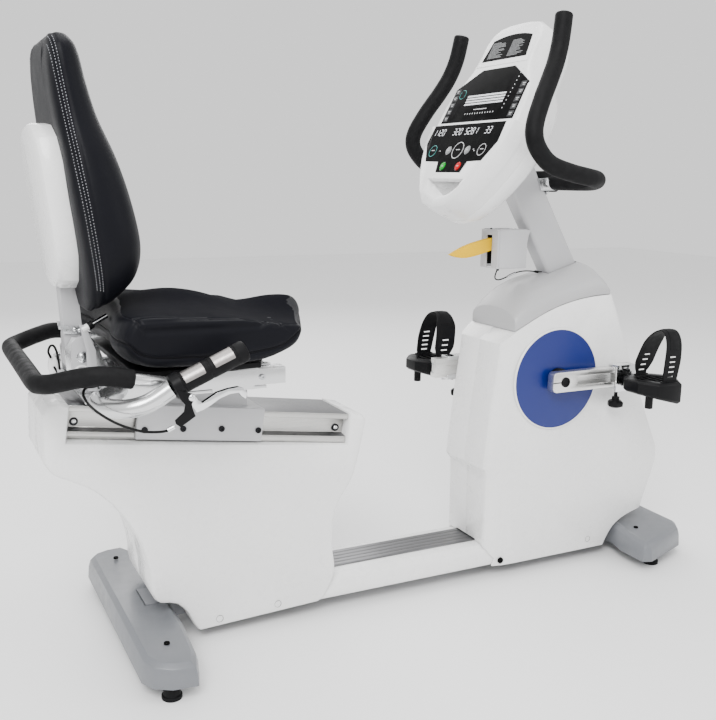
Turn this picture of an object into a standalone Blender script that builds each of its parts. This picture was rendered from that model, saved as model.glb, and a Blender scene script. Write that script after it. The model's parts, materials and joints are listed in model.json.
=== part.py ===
"""A walk-through recumbent exercise bike, built as separate parts in metres.

+X points from the seat to the console, +Y to the rider's left, and +Z up. The floor is z = 0, and
the parts are drawn from the middle of the seat-to-pedal walk-through, then moved by BIKE_SHIFT so
that the origin lies under the middle of the whole bike. A side is -1 for the rider's right, +1 for the left.
"""

import math

import bmesh
import bpy
from mathutils import Matrix, Vector
from mathutils.geometry import interpolate_bezier

# ---- driving dimensions, metres ----
BIKE_SHIFT = -0.0607
GAP = 0.0004
WALL = 0.003

BEAM_HALF = 0.040
BEAM_BOTTOM = 0.040
BEAM_TOP = 0.0790
COVER_HALF = 0.092
TREAD_HALF = 0.042

REAR_FOOT_X = -0.548
REAR_FOOT_Y = 0.287
FRONT_FOOT_X = 0.758
FRONT_FOOT_Y = 0.190
FOOT_BOTTOM = 0.028
FOOT_TUBE = (0.038, 0.065)
LEVELER_R = 0.020

RAIL_MID = (-0.383, 0.4667)
RAIL_PITCH = math.radians(7.4)
RAIL_LENGTH = 0.612
RAIL_HALF = 0.075
RAIL_HIGH = 0.066
CARRIAGE_LENGTH = 0.270
CARRIAGE_X = -0.419

CRANK_X = 0.483
CRANK_Z = 0.499
AXLE_R = 0.0085
DISC_R = 0.128
DISC_Y = 0.1010
ARM_Y = (0.1195, 0.1435)
ARM_HIGH = 0.050
ARM_END = 0.214
CRANK_RADIUS = {-1: 0.200, 1: 0.165}
SPINDLE_DROP = 0.012
PEDAL_Y = (0.166, 0.288)
PEDAL_TOP = 0.0215
STRAP_Y = (0.176, 0.272)
STRAP_FEET = (0.0165, 0.0215)

PULLEY_R = 0.105
SMALL_PULLEY_R = 0.022
PULLEY_Y = (0.048, 0.062)
FLYWHEEL_AT = (0.640, 0.258)
FLYWHEEL_R = 0.112
PLATE_Y = (0.076, 0.080)

MAST_FOOT = (0.547, 0.7625)
MAST_LEAN = math.radians(31.4)
MAST_DEEP = 0.088
MAST_WIDE = 0.050

FACE_LEAN = math.radians(27.3)
FACE_OUT = 0.262
CHIN_OUT = 0.272
FACE_SPLIT = 0.200

BAR_R = 0.0115
FOAM_R = 0.0185
GRIP_R = 0.0195

RECLINE_AT = (-0.644, 0.625)
SEAT_TOP = (
    (0.010, 0.700, 0.700),
    (0.050, 0.731, 0.7245),
    (0.140, 0.743, 0.728),
    (0.240, 0.748, 0.7265),
    (0.340, 0.750, 0.7235),
    (0.460, 0.742, 0.720),
    (0.570, 0.728, 0.7185),
    (0.665, 0.718, 0.7165),
    (0.745, 0.721, 0.7125),
    (0.830, 0.727, 0.7075),
    (0.920, 0.7285, 0.7035),
    (0.975, 0.7235, 0.701),
    (1.000, 0.710, 0.694),
)


# ---- small tools ----
SHROUD_HALF = 0.100
KEYS = {
    "start_key": (0.030, 0.996),
    "stop_key": (-0.036, 0.996),
    "level_up_key": (-0.045, 1.037),
    "level_down_key": (0.035, 1.037),
}
BAR_AT = (0.4870, 0.977)
BOX_X = (0.337, 0.424)
BOX_Z = (0.769, 0.862)
LEVER_AT = (0.392, 0.815)
SEAT_PLATE = (0.546, 0.552)
TUBE_Y = (0.088, 0.124)
SIDE_TUBE_R = 0.0175
GRIP_START = (-0.538, 0.2950, 0.6060)
GRIP_END = (-0.398, 0.3010, 0.6680)
LEVER_PIVOT = (-0.5070, -0.3110, 0.5920)
def clear_scene():
    for old in list(bpy.data.objects):
        bpy.data.objects.remove(old)


def finish_of(name, colour, roughness, metallic=0.0):
    found = bpy.data.materials.get(name)
    if found:
        return found
    made = bpy.data.materials.new(name)
    made.use_nodes = True
    shader = made.node_tree.nodes["Principled BSDF"]
    shader.inputs["Base Color"].default_value = (*colour, 1.0)
    shader.inputs["Roughness"].default_value = roughness
    shader.inputs["Metallic"].default_value = metallic
    return made


def finishes():
    return {
        "white": finish_of("white_plastic", (0.86, 0.86, 0.85), 0.28),
        "grey": finish_of("grey_plastic", (0.42, 0.43, 0.45), 0.35),
        "pale": finish_of("pale_grey_paint", (0.68, 0.68, 0.69), 0.35),
        "steel": finish_of("silver_steel", (0.72, 0.73, 0.75), 0.3, 0.9),
        "aluminium": finish_of("aluminium", (0.75, 0.74, 0.72), 0.3, 1.0),
        "frame": finish_of("painted_frame", (0.30, 0.31, 0.33), 0.5),
        "black": finish_of("black_plastic", (0.02, 0.02, 0.022), 0.4),
        "rubber": finish_of("black_rubber", (0.03, 0.03, 0.03), 0.8),
        "foam": finish_of("black_foam", (0.025, 0.025, 0.027), 0.7),
        "vinyl": finish_of("black_vinyl", (0.03, 0.031, 0.036), 0.45),
        "blue": finish_of("blue_disc", (0.005, 0.06, 0.42), 0.35),
        "yellow": finish_of("yellow_lever", (0.95, 0.72, 0.01), 0.4),
        "green": finish_of("green_key", (0.02, 0.60, 0.12), 0.35),
        "red": finish_of("red_key", (0.75, 0.02, 0.03), 0.35),
        "iron": finish_of("cast_iron", (0.16, 0.16, 0.17), 0.6, 0.6),
    }


def mesh_from(name, points, faces):
    mesh = bpy.data.meshes.new(name)
    mesh.from_pydata([tuple(p) for p in points], [], faces)
    work = bmesh.new()
    work.from_mesh(mesh)
    bmesh.ops.recalc_face_normals(work, faces=work.faces)
    work.to_mesh(mesh)
    work.free()
    return mesh


def put(name, mesh, finish, origin=(0.0, 0.0, 0.0), sharp=30.0):
    """Link a mesh drawn in bike coordinates, with its origin moved to a point of the bike."""
    mesh.transform(Matrix.Translation(-Vector(origin)))
    mesh.materials.clear()
    mesh.materials.append(FINISH[finish])
    mesh.shade_smooth()
    mesh.set_sharp_from_angle(angle=math.radians(sharp))
    made = bpy.data.objects.new(name, mesh)
    bpy.context.scene.collection.objects.link(made)
    made.parent = BIKE
    made.location = origin
    return made


def tool(mesh):
    """A helper solid for a Boolean. It is left out of the bike itself."""
    made = put("tool", mesh, "frame")
    made.hide_render = True
    made.display_type = "WIRE"
    return made


def combine(target, operation, *meshes):
    for mesh in meshes:
        step = target.modifiers.new(operation.lower(), "BOOLEAN")
        step.operation = operation
        step.solver = "EXACT"
        step.object = tool(mesh)
    return target


def join(target, *meshes):
    return combine(target, "UNION", *meshes)


def cut(target, *meshes):
    return combine(target, "DIFFERENCE", *meshes)


def loft(rings):
    """A closed solid through rings with the same number of points, capped at both ends."""
    count = len(rings[0])
    points = [p for ring in rings for p in ring]
    faces = [tuple(range(count)), tuple(range((len(rings) - 1) * count, len(rings) * count))]
    for k in range(len(rings) - 1):
        for i in range(count):
            j = (i + 1) % count
            faces.append((k * count + i, k * count + j, (k + 1) * count + j, (k + 1) * count + i))
    return mesh_from("solid", points, faces)


def prism(outline, low, high):
    """A side-view outline of (x, z) points, extruded from y = low to y = high."""
    return loft([[(x, y, z) for x, z in outline] for y in (low, high)])


def block(middle, size, pitch=0.0):
    """A box. A positive pitch turns its front end down."""
    turn = Matrix.Rotation(pitch, 4, "Y")
    half = Vector(size) / 2
    rings = []
    for x in (-half.x, half.x):
        corners = [(-half.y, -half.z), (half.y, -half.z), (half.y, half.z), (-half.y, half.z)]
        rings.append([Vector(middle) + turn @ Vector((x, y, z)) for y, z in corners])
    return loft(rings)


def rod(start, end, radius, sides=16):
    """A round bar between two points."""
    start = Vector(start)
    end = Vector(end)
    turn = (end - start).to_track_quat("Z", "X")
    rings = []
    for centre in (start, end):
        ring = []
        for i in range(sides):
            a = 2 * math.pi * i / sides
            ring.append(centre + turn @ Vector((radius * math.cos(a), radius * math.sin(a), 0)))
        rings.append(ring)
    return loft(rings)


def turned(profile, middle, sides=32):
    """A body turned about a Y axis through middle = (x, z), from a closed loop of (radius, y) points."""
    rings = []
    for r, y in profile:
        ring = []
        for i in range(sides):
            a = 2 * math.pi * i / sides
            ring.append((middle[0] + r * math.cos(a), y, middle[1] + r * math.sin(a)))
        rings.append(ring)
    return loft(rings)


def curve_through(points, steps=4):
    """A smooth line through the points, by Bezier stretches with even tangents."""
    line = [Vector(p) for p in points]
    last = len(line) - 1
    slopes = [(line[min(i + 1, last)] - line[max(i - 1, 0)]) / 6 for i in range(last + 1)]
    out = [line[0]]
    for i in range(last):
        part = interpolate_bezier(
            line[i], line[i] + slopes[i], line[i + 1] - slopes[i + 1], line[i + 1], steps + 1
        )
        out.extend(part[1:])
    return out


def sweep(path, radius, sides=10, bore=0.0):
    """A round tube along a path, hollow from end to end if it has a bore."""
    path = [Vector(p) for p in path]
    side = Vector((0.013, 1.0, 0.021)).normalized()
    outer = []
    inner = []
    for i, point in enumerate(path):
        along = (path[min(i + 1, len(path) - 1)] - path[max(i - 1, 0)]).normalized()
        side = (side - along * side.dot(along)).normalized()
        over = along.cross(side)
        for ring, r in ((outer, radius), (inner, bore)):
            angles = [2 * math.pi * k / sides for k in range(sides)]
            ring.append([point + side * (r * math.cos(a)) + over * (r * math.sin(a)) for a in angles])
    if not bore:
        return loft(outer)
    rings = outer + inner[::-1]
    points = [p for ring in rings for p in ring]
    count = len(rings)
    faces = []
    for k in range(count):
        after = (k + 1) % count
        for i in range(sides):
            j = (i + 1) % sides
            faces.append((k * sides + i, k * sides + j, after * sides + j, after * sides + i))
    return mesh_from("tube", points, faces)


def offset(outline, distance):
    """A closed (a, b) outline moved inwards, away from its own right-hand side."""
    points = [Vector(p) for p in outline]
    count = len(points)
    pairs = list(zip(points, points[1:] + points[:1]))
    area = sum(one.x * two.y - two.x * one.y for one, two in pairs)
    turn = 1.0 if area > 0 else -1.0
    out = []
    for i, point in enumerate(points):
        one = (point - points[i - 1]).normalized()
        two = (points[(i + 1) % count] - point).normalized()
        inward = Vector((-(one + two).y, (one + two).x)).normalized() * turn
        stretch = max(0.5, inward.dot(Vector((-two.y, two.x)) * turn))
        out.append(tuple(point + inward * distance / stretch))
    return out


# ---- chassis ----
def rail_point(along, up):
    """A point of the side view, measured along the seat rail and square to it from its middle."""
    c = math.cos(RAIL_PITCH)
    s = math.sin(RAIL_PITCH)
    return (RAIL_MID[0] + along * c + up * s, RAIL_MID[1] - along * s + up * c)


def rail_block(along, up, y):
    """A box lying with the seat rail, from three (low, high) pairs."""
    corners = [(along[0], up[0]), (along[1], up[0]), (along[1], up[1]), (along[0], up[1])]
    return prism([rail_point(a, u) for a, u in corners], *y)


def mast_point(along, forward=0.0):
    """A point of the side view, measured up the console mast and forward of its centre line."""
    c = math.cos(MAST_LEAN)
    s = math.sin(MAST_LEAN)
    return (MAST_FOOT[0] - along * s + forward * c, MAST_FOOT[1] + along * c + forward * s)


def mast_block(along, deep, wide):
    half = deep / 2
    corners = [(along[0], -half), (along[1], -half), (along[1], half), (along[0], half)]
    return prism([mast_point(a, f) for a, f in corners], -wide / 2, wide / 2)


def frame_plate(y):
    """A side plate that holds the crank bearing, the flywheel axle and the foot of the mast."""
    outline = [(0.440, 0.076), (0.655, 0.076), (0.700, 0.160), (0.705, 0.300), (0.665, 0.560), (0.632, 0.690)]
    outline += [(0.570, 0.655), (0.510, 0.545), (0.445, 0.545), (0.445, 0.465), (0.500, 0.440)]
    return prism(outline, *y)


def main_frame():
    beam_mid = (BEAM_BOTTOM + BEAM_TOP) / 2
    beam_high = BEAM_TOP - BEAM_BOTTOM
    frame = put("main_frame", block((0.100, 0, beam_mid), (1.270, 2 * BEAM_HALF, beam_high)), "frame")
    foot_mid = (FOOT_TUBE[0] + FOOT_TUBE[1]) / 2
    foot_high = FOOT_TUBE[1] - FOOT_TUBE[0]
    for x, reach, tip in ((REAR_FOOT_X, 0.270, REAR_FOOT_Y), (FRONT_FOOT_X, 0.178, FRONT_FOOT_Y)):
        join(frame, block((x, 0, foot_mid), (0.050, 2 * reach, foot_high)))
        join(frame, block((x, 0, foot_mid), (0.024, 2 * tip + 0.020, foot_high - 0.002)))
    under = -RAIL_HIGH / 2 - 0.004
    column = [(-0.390, 0.070), (-0.290, 0.070), rail_point(0.090, under), rail_point(-0.010, under)]
    join(frame, prism(column, -0.035, 0.035))
    join(frame, rail_block((-0.20, 0.20), (-RAIL_HIGH / 2 - 0.008, -RAIL_HIGH / 2 - GAP), (-0.055, 0.055)))
    inner, outer = PLATE_Y
    join(frame, block((0.555, 0, 0.068), (0.190, 2 * outer - 0.001, 0.030)))
    join(frame, frame_plate((inner, outer)), frame_plate((-outer, -inner)))
    join(frame, mast_block((-0.160, -0.095 - GAP), 0.080, 2 * inner + 0.002))
    join(frame, turned([(0.020, -inner - 0.001), (0.020, 0.040)], (CRANK_X, CRANK_Z), 20))
    join(frame, turned([(0.0078, -inner - 0.001), (0.0078, inner + 0.001)], FLYWHEEL_AT, 12))
    cut(frame, turned([(AXLE_R + 0.0006, -0.12), (AXLE_R + 0.0006, 0.12)], (CRANK_X, CRANK_Z), 20))
    for x, y in leveler_places():
        cut(frame, rod((x, y, 0.030), (x, y, 0.062), 0.0062, 12))
    return frame


def leveler_places():
    rear = [(REAR_FOOT_X, side * REAR_FOOT_Y) for side in (-1, 1)]
    front = [(FRONT_FOOT_X, side * FRONT_FOOT_Y) for side in (-1, 1)]
    return rear + front


def levelers():
    names = ["leveler_rear_right", "leveler_rear_left", "leveler_front_right", "leveler_front_left"]
    for name, (x, y) in zip(names, leveler_places()):
        foot = put(name, rod((x, y, 0), (x, y, 0.008), LEVELER_R, 20), "rubber", (x, y, 0))
        washer = rod((x, y, 0.0075), (x, y, FOOT_BOTTOM - 0.0008), 0.0165, 20)
        join(foot, washer, rod((x, y, 0.026), (x, y, 0.048), 0.0055, 12))


def cover_profile(grow=0.0):
    """The outside of the beam cover, as (y, z) points of its left half from the middle to the bottom."""
    half = [(0.046, 0.0835), (0.068, 0.0820), (0.084, 0.0710), (COVER_HALF, 0.0480), (0.090, 0.034)]
    return [(y + grow, z + grow) for y, z in half]


def along_x(profile, low, high):
    """A (y, z) outline extruded along the bike."""
    return loft([[(x, y, z) for y, z in profile] for x in (low, high)])


def beam_cover():
    """The moulded cover over the ground beam, open underneath."""
    outer = cover_profile()
    inner = [(0.0870, 0.034), (0.0890, 0.0475), (0.0815, 0.0690), (0.067, 0.0792), (0.046, 0.0797)]
    profile = [(-y, z) for y, z in outer[::-1]] + outer + inner + [(-y, z) for y, z in inner[::-1]]
    put("beam_cover", along_x(profile, -0.190, 0.345), "white")


def beam_tunnel(low, high):
    """The room a shroud leaves for the covered beam and its tread, as two cutters."""
    tread = 0.0835 + GAP + 0.0032
    middle = ((low + high) / 2, 0, tread - 0.0085)
    return [
        along_x(mirrored(cover_profile(0.0015), 0.0), low, high),
        block(middle, (high - low, 2 * TREAD_HALF + 0.003, 0.020)),
    ]


def beam_tread():
    """The ribbed step plate on the beam: five broad ribs."""
    base = 0.0835 + GAP
    ribs = 5
    pitch = 2 * TREAD_HALF / ribs
    top = []
    for i in range(ribs):
        left = -TREAD_HALF + i * pitch
        top += [(left, base + 0.0012), (left + 0.0015, base + 0.0032)]
        top += [(left + pitch - 0.0015, base + 0.0032), (left + pitch - 0.0001, base + 0.0012)]
    profile = top + [(TREAD_HALF, base), (-TREAD_HALF, base)]
    put("beam_tread", along_x(profile, -0.190, 0.345), "aluminium")


def foot_rings(half, heights, insets, end_drop):
    """Rings of a foot cover, from its half outline of (x, y) points, rising and drawing in."""
    outline = half + [(x, -y) for x, y in half[::-1] if y > 0]
    longest = max(y for _, y in half)
    rings = []
    for z, inset in zip(heights, insets):
        ring = []
        for x, y in offset(outline, inset):
            drop = end_drop * max(0.0, abs(y) / longest - 0.75) / 0.25
            ring.append((x, y, z - drop * (z - heights[0]) / (heights[-1] - heights[0])))
        rings.append(ring)
    return rings


def foot_cover(name, half, tube, notch):
    """A stabilizer cover, hollow over its tube and open where the beam comes in."""
    x, reach, tip = tube
    top = FOOT_TUBE[1] + 0.0015
    rings = foot_rings(half, (FOOT_BOTTOM, 0.058, 0.074, 0.083), (0.0, 0.002, 0.006, 0.016), 0.010)
    cover = put(name, loft(rings), "grey", sharp=40)
    wide = block((x, 0, top / 2), (0.056, 2 * reach + 0.004, top))
    cut(cover, wide, block((x, 0, top / 2), (0.028, 2 * tip + 0.023, top)))
    low, high = notch
    return cut(cover, block(((low + high) / 2, 0, 0.060), (high - low, 2 * BEAM_HALF + 0.004, 0.084)))


def feet():
    rear = [(-0.600, 0.0), (-0.600, 0.262), (-0.585, 0.292), (-0.552, 0.312), (-0.503, 0.318)]
    rear += [(-0.489, 0.272), (-0.480, 0.150), (-0.480, 0.0)]
    foot_cover("rear_foot_cover", rear, (REAR_FOOT_X, 0.270, REAR_FOOT_Y), (-0.5375, -0.46))
    front = [(0.703, 0.0), (0.703, 0.106), (0.690, 0.150), (0.690, 0.232), (0.712, 0.240)]
    front += [(0.862, 0.186), (0.888, 0.150), (0.893, 0.0)]
    foot_cover("front_foot_cover", front, (FRONT_FOOT_X, 0.178, FRONT_FOOT_Y), (0.690, 0.7375))


def seat_rail():
    """The extruded rail: a dark flat top, a deep channel down each side, and a foot flange."""
    top = RAIL_HIGH / 2
    half = [(RAIL_HALF, top), (RAIL_HALF, top - 0.012), (0.052, top - 0.014), (0.052, -top + 0.018)]
    half += [(RAIL_HALF, -top + 0.014), (RAIL_HALF, -top)]
    profile = half + [(-y, u) for y, u in half[::-1]]
    rings = []
    for along in (-RAIL_LENGTH / 2, RAIL_LENGTH / 2):
        places = [(rail_point(along, u), y) for y, u in profile]
        rings.append([(x, y, z) for (x, z), y in places])
    put("seat_rail", loft(rings), "aluminium")


# ---- rear shroud ----
def rear_shroud_outline():
    """The side view of the rear shroud, with an upturned horn at each end of the rail."""
    end = RAIL_LENGTH / 2 + 0.001
    under = -RAIL_HIGH / 2 - 0.0015
    rear_lip = [rail_point(-end, under), rail_point(-end, RAIL_HIGH / 2 + 0.002)]
    front_lip = [rail_point(end, RAIL_HIGH / 2 + 0.003), rail_point(end, under)]
    rear_top = [(-0.700, 0.5495), (-0.722, 0.5460), (-0.734, 0.5300)]
    back = curve_through(
        [(-0.7365, 0.437), (-0.718, 0.410), (-0.681, 0.390), (-0.644, 0.367), (-0.610, 0.334)]
    )
    back += curve_through(
        [(-0.610, 0.334), (-0.577, 0.286), (-0.553, 0.233), (-0.541, 0.182), (-0.539, 0.150)]
    )[1:]
    over_foot = curve_through([(-0.537, 0.132), (-0.531, 0.117), (-0.519, 0.1065), (-0.500, 0.1030)], 2)
    over_foot += curve_through([(-0.484, 0.097), (-0.466, 0.078), (-0.450, 0.046), (-0.440, 0.031)], 3)
    over_foot += [(-0.435, 0.0275), (-0.427, 0.0275)]
    bottom = [(-0.156, 0.032)]
    front = curve_through(
        [(-0.140, 0.042), (-0.120, 0.075), (-0.112, 0.108), (-0.118, 0.160), (-0.117, 0.215)], 3
    )
    front += curve_through(
        [(-0.117, 0.215), (-0.102, 0.259), (-0.069, 0.308), (-0.054, 0.350), (-0.039, 0.410)], 3
    )[1:]
    front_top = [(-0.032, 0.442), (-0.041, 0.4550)]
    return rear_lip + rear_top + back + over_foot + bottom + front + front_top + front_lip


def rear_half_width(x, z):
    return 0.110 - 0.040 * (x + 0.43) - 0.030 * (z - 0.03)


def shroud_half(name, side, outline, half_width, edge):
    """One half of a shroud: a side wall with rounded edges and a rim that reaches the middle of the bike."""
    steps = [(0.0, None), (0.0, edge), (0.30 * edge, 0.30 * edge), (edge, 0.0)]
    rings = []
    for inset, short in steps:
        ring = []
        for x, z in offset(outline, inset):
            width = GAP / 2 if short is None else half_width(x, z) - short
            ring.append((x, side * width, z))
        rings.append(ring)
    shell = put(name, loft(rings), "white", sharp=35)
    room = []
    for inset, short in ((WALL, None), (WALL, edge), (edge, WALL)):
        ring = []
        for x, z in offset(outline, inset):
            ring.append((x, side * (-0.01 if short is None else half_width(x, z) - short), z))
        room.append(ring)
    return cut(shell, loft(room))


def rear_shroud():
    outline = rear_shroud_outline()
    for side, word in ((-1, "right"), (1, "left")):
        shell = shroud_half("rear_shroud_" + word, side, outline, rear_half_width, 0.010)
        cut(shell, rail_block((-0.27, 0.25), (-0.060, -0.020), (-0.062, 0.062)))
        cut(shell, *beam_tunnel(-0.22, -0.05), block((-0.50, 0, 0.05), (0.16, 2 * BEAM_HALF + 0.004, 0.10)))
        cut(shell, block((-0.37, 0, 0.02), (0.52, 0.150, 0.04)))


def mirrored(half, floor):
    """A whole (y, z) outline from its left half, carried down to a floor height."""
    low = [(half[-1][0], floor), (-half[-1][0], floor)]
    return half + low + [(-y, z) for y, z in half[::-1]]


# ---- front shroud ----


def seam_height(x):
    """The height of the line where the cowl meets the front shroud."""
    d = 0.650 - x
    return 0.702 - 0.60 * d * d - 1.20 * d ** 3


def shroud_ring(rear, front, rear_half, side_half, height, side=0, inset=0.0):
    """A level ring of the front shroud: flat rear face, wide rounded rear corners, flat sides and front."""
    rear += inset
    front -= inset
    rear_half -= inset
    side_half -= inset
    reach = 0.085
    steps = 6
    half = [(rear, GAP / 2 if side else 0.0)]
    for i in range(steps + 1):
        a = math.pi / 2 * i / steps
        half.append((rear + reach * (1 - math.cos(a)), rear_half + (side_half - rear_half) * math.sin(a)))
    half += [((rear + reach + front) / 2, side_half), (front - 0.012, side_half)]
    half += [
        (front - 0.0035, side_half - 0.0035), (front, side_half - 0.012), (front, GAP / 2 if side else 0.0)
    ]
    if side:
        return [(x, side * y, height) for x, y in half]
    return [(x, y, height) for x, y in half] + [(x, -y, height) for x, y in half[::-1] if y > 0]


def shroud_levels():
    """(rear x, front x, half width of the rear face, half width of the sides, height) up the front shroud."""
    front_low = (0.797, 0.105)
    front_nose = ((0.844, 0.246), (0.841, 0.285))
    return [
        (0.302, 0.770, 0.078, SHROUD_HALF, 0.030),
        (0.301, front_low[0], 0.076, SHROUD_HALF, 0.105),
        (0.298, front_nose[0][0], 0.075, SHROUD_HALF, front_nose[0][1]),
        (0.297, front_nose[1][0] + 0.002, 0.075, SHROUD_HALF, 0.268),
        (0.287, front_nose[1][0], 0.083, SHROUD_HALF, 0.285),
        (0.303, 0.768, 0.082, SHROUD_HALF, 0.440),
        (0.320, 0.706, 0.080, SHROUD_HALF, 0.578),
    ]


def front_shroud():
    levels = shroud_levels()
    room = [shroud_ring(*level, 0, WALL) for level in levels]
    room[0] = [(x, y, 0.0) for x, y, _ in room[0]]
    room.append(shroud_ring(0.365, 0.700, 0.078, SHROUD_HALF, 0.592, 0, WALL))
    room.append(shroud_ring(0.365, 0.634, 0.078, SHROUD_HALF, 0.742, 0, WALL))
    seam = [(0.25 + 0.45 * k / 18, seam_height(0.25 + 0.45 * k / 18)) for k in range(19)]
    above = [(0.25, 0.80)] + seam + [(0.70, 0.80)]
    arch = [(0.672, 0.0), (0.672, 0.030)]
    arch += curve_through([(0.674, 0.034), (0.690, 0.062), (0.712, 0.086), (0.750, 0.105), (0.800, 0.118)], 3)
    arch += [(0.900, 0.118), (0.900, 0.0)]
    for side, word in ((-1, "right"), (1, "left")):
        rings = [shroud_ring(*level, side) for level in levels]
        rings.append(shroud_ring(0.322, 0.642, 0.080, SHROUD_HALF, 0.722, side))
        shell = put("front_shroud_" + word, loft(rings), "white", sharp=25)
        cut(shell, loft(room), prism(arch, -0.2, 0.2), prism(above, -0.2, 0.2))
        cut(shell, *beam_tunnel(0.25, 0.36))
        cut(shell, turned([(0.030, -0.2), (0.030, 0.2)], (CRANK_X, CRANK_Z), 24))


def cowl_ridge(x):
    """The height of the middle of the cowl."""
    line = [(0.350, 0.664), (0.380, 0.700), (0.411, 0.726), (0.450, 0.742), (0.496, 0.753), (0.545, 0.768)]
    line += [(0.588, 0.782), (0.608, 0.777), (0.628, 0.752), (0.645, 0.716)]
    for (x0, z0), (x1, z1) in zip(line, line[1:]):
        if x <= x1:
            return z0 + (z1 - z0) * (x - x0) / (x1 - x0)
    return line[-1][1]


def cowl_section(x, shrink=0.0):
    """A cross-section of the cowl: upright edges, then a low arch."""
    seam = seam_height(x) + 0.0016
    near = min(1.0, (x - 0.322) / 0.085)
    half = 0.080 + (SHROUD_HALF - 0.080) * math.sin(math.pi / 2 * near)
    half -= 0.0005 + shrink
    ridge = max(cowl_ridge(x), seam + 0.012) - shrink
    lift = min(0.022, 0.4 * (ridge - seam))
    points = [(x, half, seam - (0.03 if shrink else 0.0)), (x, half, seam + lift)]
    for i in range(1, 6):
        a = math.pi / 2 * i / 5.5
        points.append(
            (x, half * (1 - 0.96 * (1 - math.cos(a))), seam + lift + (ridge - seam - lift) * math.sin(a))
        )
    return points + [(px, -y, z) for px, y, z in points[::-1]]


def mast_cowl():
    stations = [0.358, 0.366, 0.382, 0.411, 0.450, 0.496, 0.545, 0.588, 0.608, 0.628, 0.641]
    cowl = put("mast_cowl", loft([cowl_section(x) for x in stations]), "pale", sharp=40)
    cut(cowl, loft([cowl_section(x, WALL) for x in [0.361, *stations[1:-1], 0.638]]))
    cut(cowl, mast_block((-0.15, 0.10), MAST_DEEP + 0.004, MAST_WIDE + 0.004))
    return cowl


def console_mast():
    mast = put("console_mast", mast_block((-0.095, 0.315), MAST_DEEP, MAST_WIDE), "pale")
    edge = mast.modifiers.new("edge", "BEVEL")
    edge.width = 0.006
    edge.segments = 1
    return mast


# ---- drive ----
def crank_parts():
    middle = (CRANK_X, CRANK_Z)
    at = (CRANK_X, 0, CRANK_Z)
    put("crank_axle", turned([(AXLE_R, -0.1188), (AXLE_R, 0.1188)], middle, 20), "steel", at)
    low, high = PULLEY_Y
    rim = [(PULLEY_R, low), (PULLEY_R, high)]
    pulley = put("drive_pulley", turned(rim, middle, 40), "black", at)
    bore = turned([(AXLE_R + 0.0003, low - 0.01), (AXLE_R + 0.0003, high + 0.01)], middle, 20)
    cut(pulley, bore)
    for k in range(5):
        a = 2 * math.pi * k / 5
        x = CRANK_X + 0.062 * math.cos(a)
        z = CRANK_Z + 0.062 * math.sin(a)
        cut(pulley, turned([(0.024, low - 0.01), (0.024, high + 0.01)], (x, z), 16))
    for side, word in ((-1, "right"), (1, "left")):
        crank_disc(side, word)
        crank_arm(side, word)


def crank_disc(side, word):
    middle = (CRANK_X, CRANK_Z)
    profile = [(DISC_R, DISC_Y), (DISC_R, DISC_Y + 0.003), (DISC_R - 0.001, DISC_Y + 0.004)]
    profile += [(0.030, DISC_Y + 0.004), (0.028, DISC_Y + 0.0175)]
    rings = [(r, side * y) for r, y in profile]
    disc = put("crank_disc_" + word, turned(rings, middle, 48), "blue", (CRANK_X, 0, CRANK_Z))
    cut(disc, turned([(AXLE_R + 0.0003, side * 0.09), (AXLE_R + 0.0003, side * 0.13)], middle, 20))


def arm_profile(outer, inner):
    """The (y, z) section of a crank arm, with a groove along its outer face."""
    top = ARM_HIGH / 2
    groove = 0.012
    deep = outer - math.copysign(0.005, outer)
    profile = [(inner, -top), (outer, -top), (outer, -groove), (deep, -groove), (deep, groove)]
    return [(y, CRANK_Z + z) for y, z in profile + [(outer, groove), (outer, top), (inner, top)]]


def crank_arm(side, word):
    inner, outer = (side * y for y in ARM_Y)
    toward = -side
    start = CRANK_X + toward * 0.030
    end = CRANK_X + toward * ARM_END
    arm = put(
        "crank_arm_" + word, along_x(arm_profile(outer, inner), start, end), "aluminium",
        (CRANK_X, 0, CRANK_Z)
    )
    hub_low, hub_high = sorted((CRANK_X - toward * 0.040, CRANK_X + toward * 0.034))
    top = ARM_HIGH / 2
    corner = 0.010
    outline = [(hub_low, CRANK_Z - top), (hub_high, CRANK_Z - top)]
    outline += [(hub_high, CRANK_Z + top), (hub_low, CRANK_Z + top)]
    rounded_end = []
    for x, z in outline:
        if abs(x - (CRANK_X - toward * 0.040)) < 1e-6:
            up = 1 if z > CRANK_Z else -1
            pair = [
                (x, z - up * corner), (x + toward * corner * 0.3, z - up * corner * 0.3),
                (x + toward * corner, z)
            ]
            first_along_x = (toward > 0) == (up < 0)
            rounded_end += pair if first_along_x else pair[::-1]
        else:
            rounded_end.append((x, z))
    join(arm, prism(rounded_end, inner, outer))
    return arm


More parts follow.
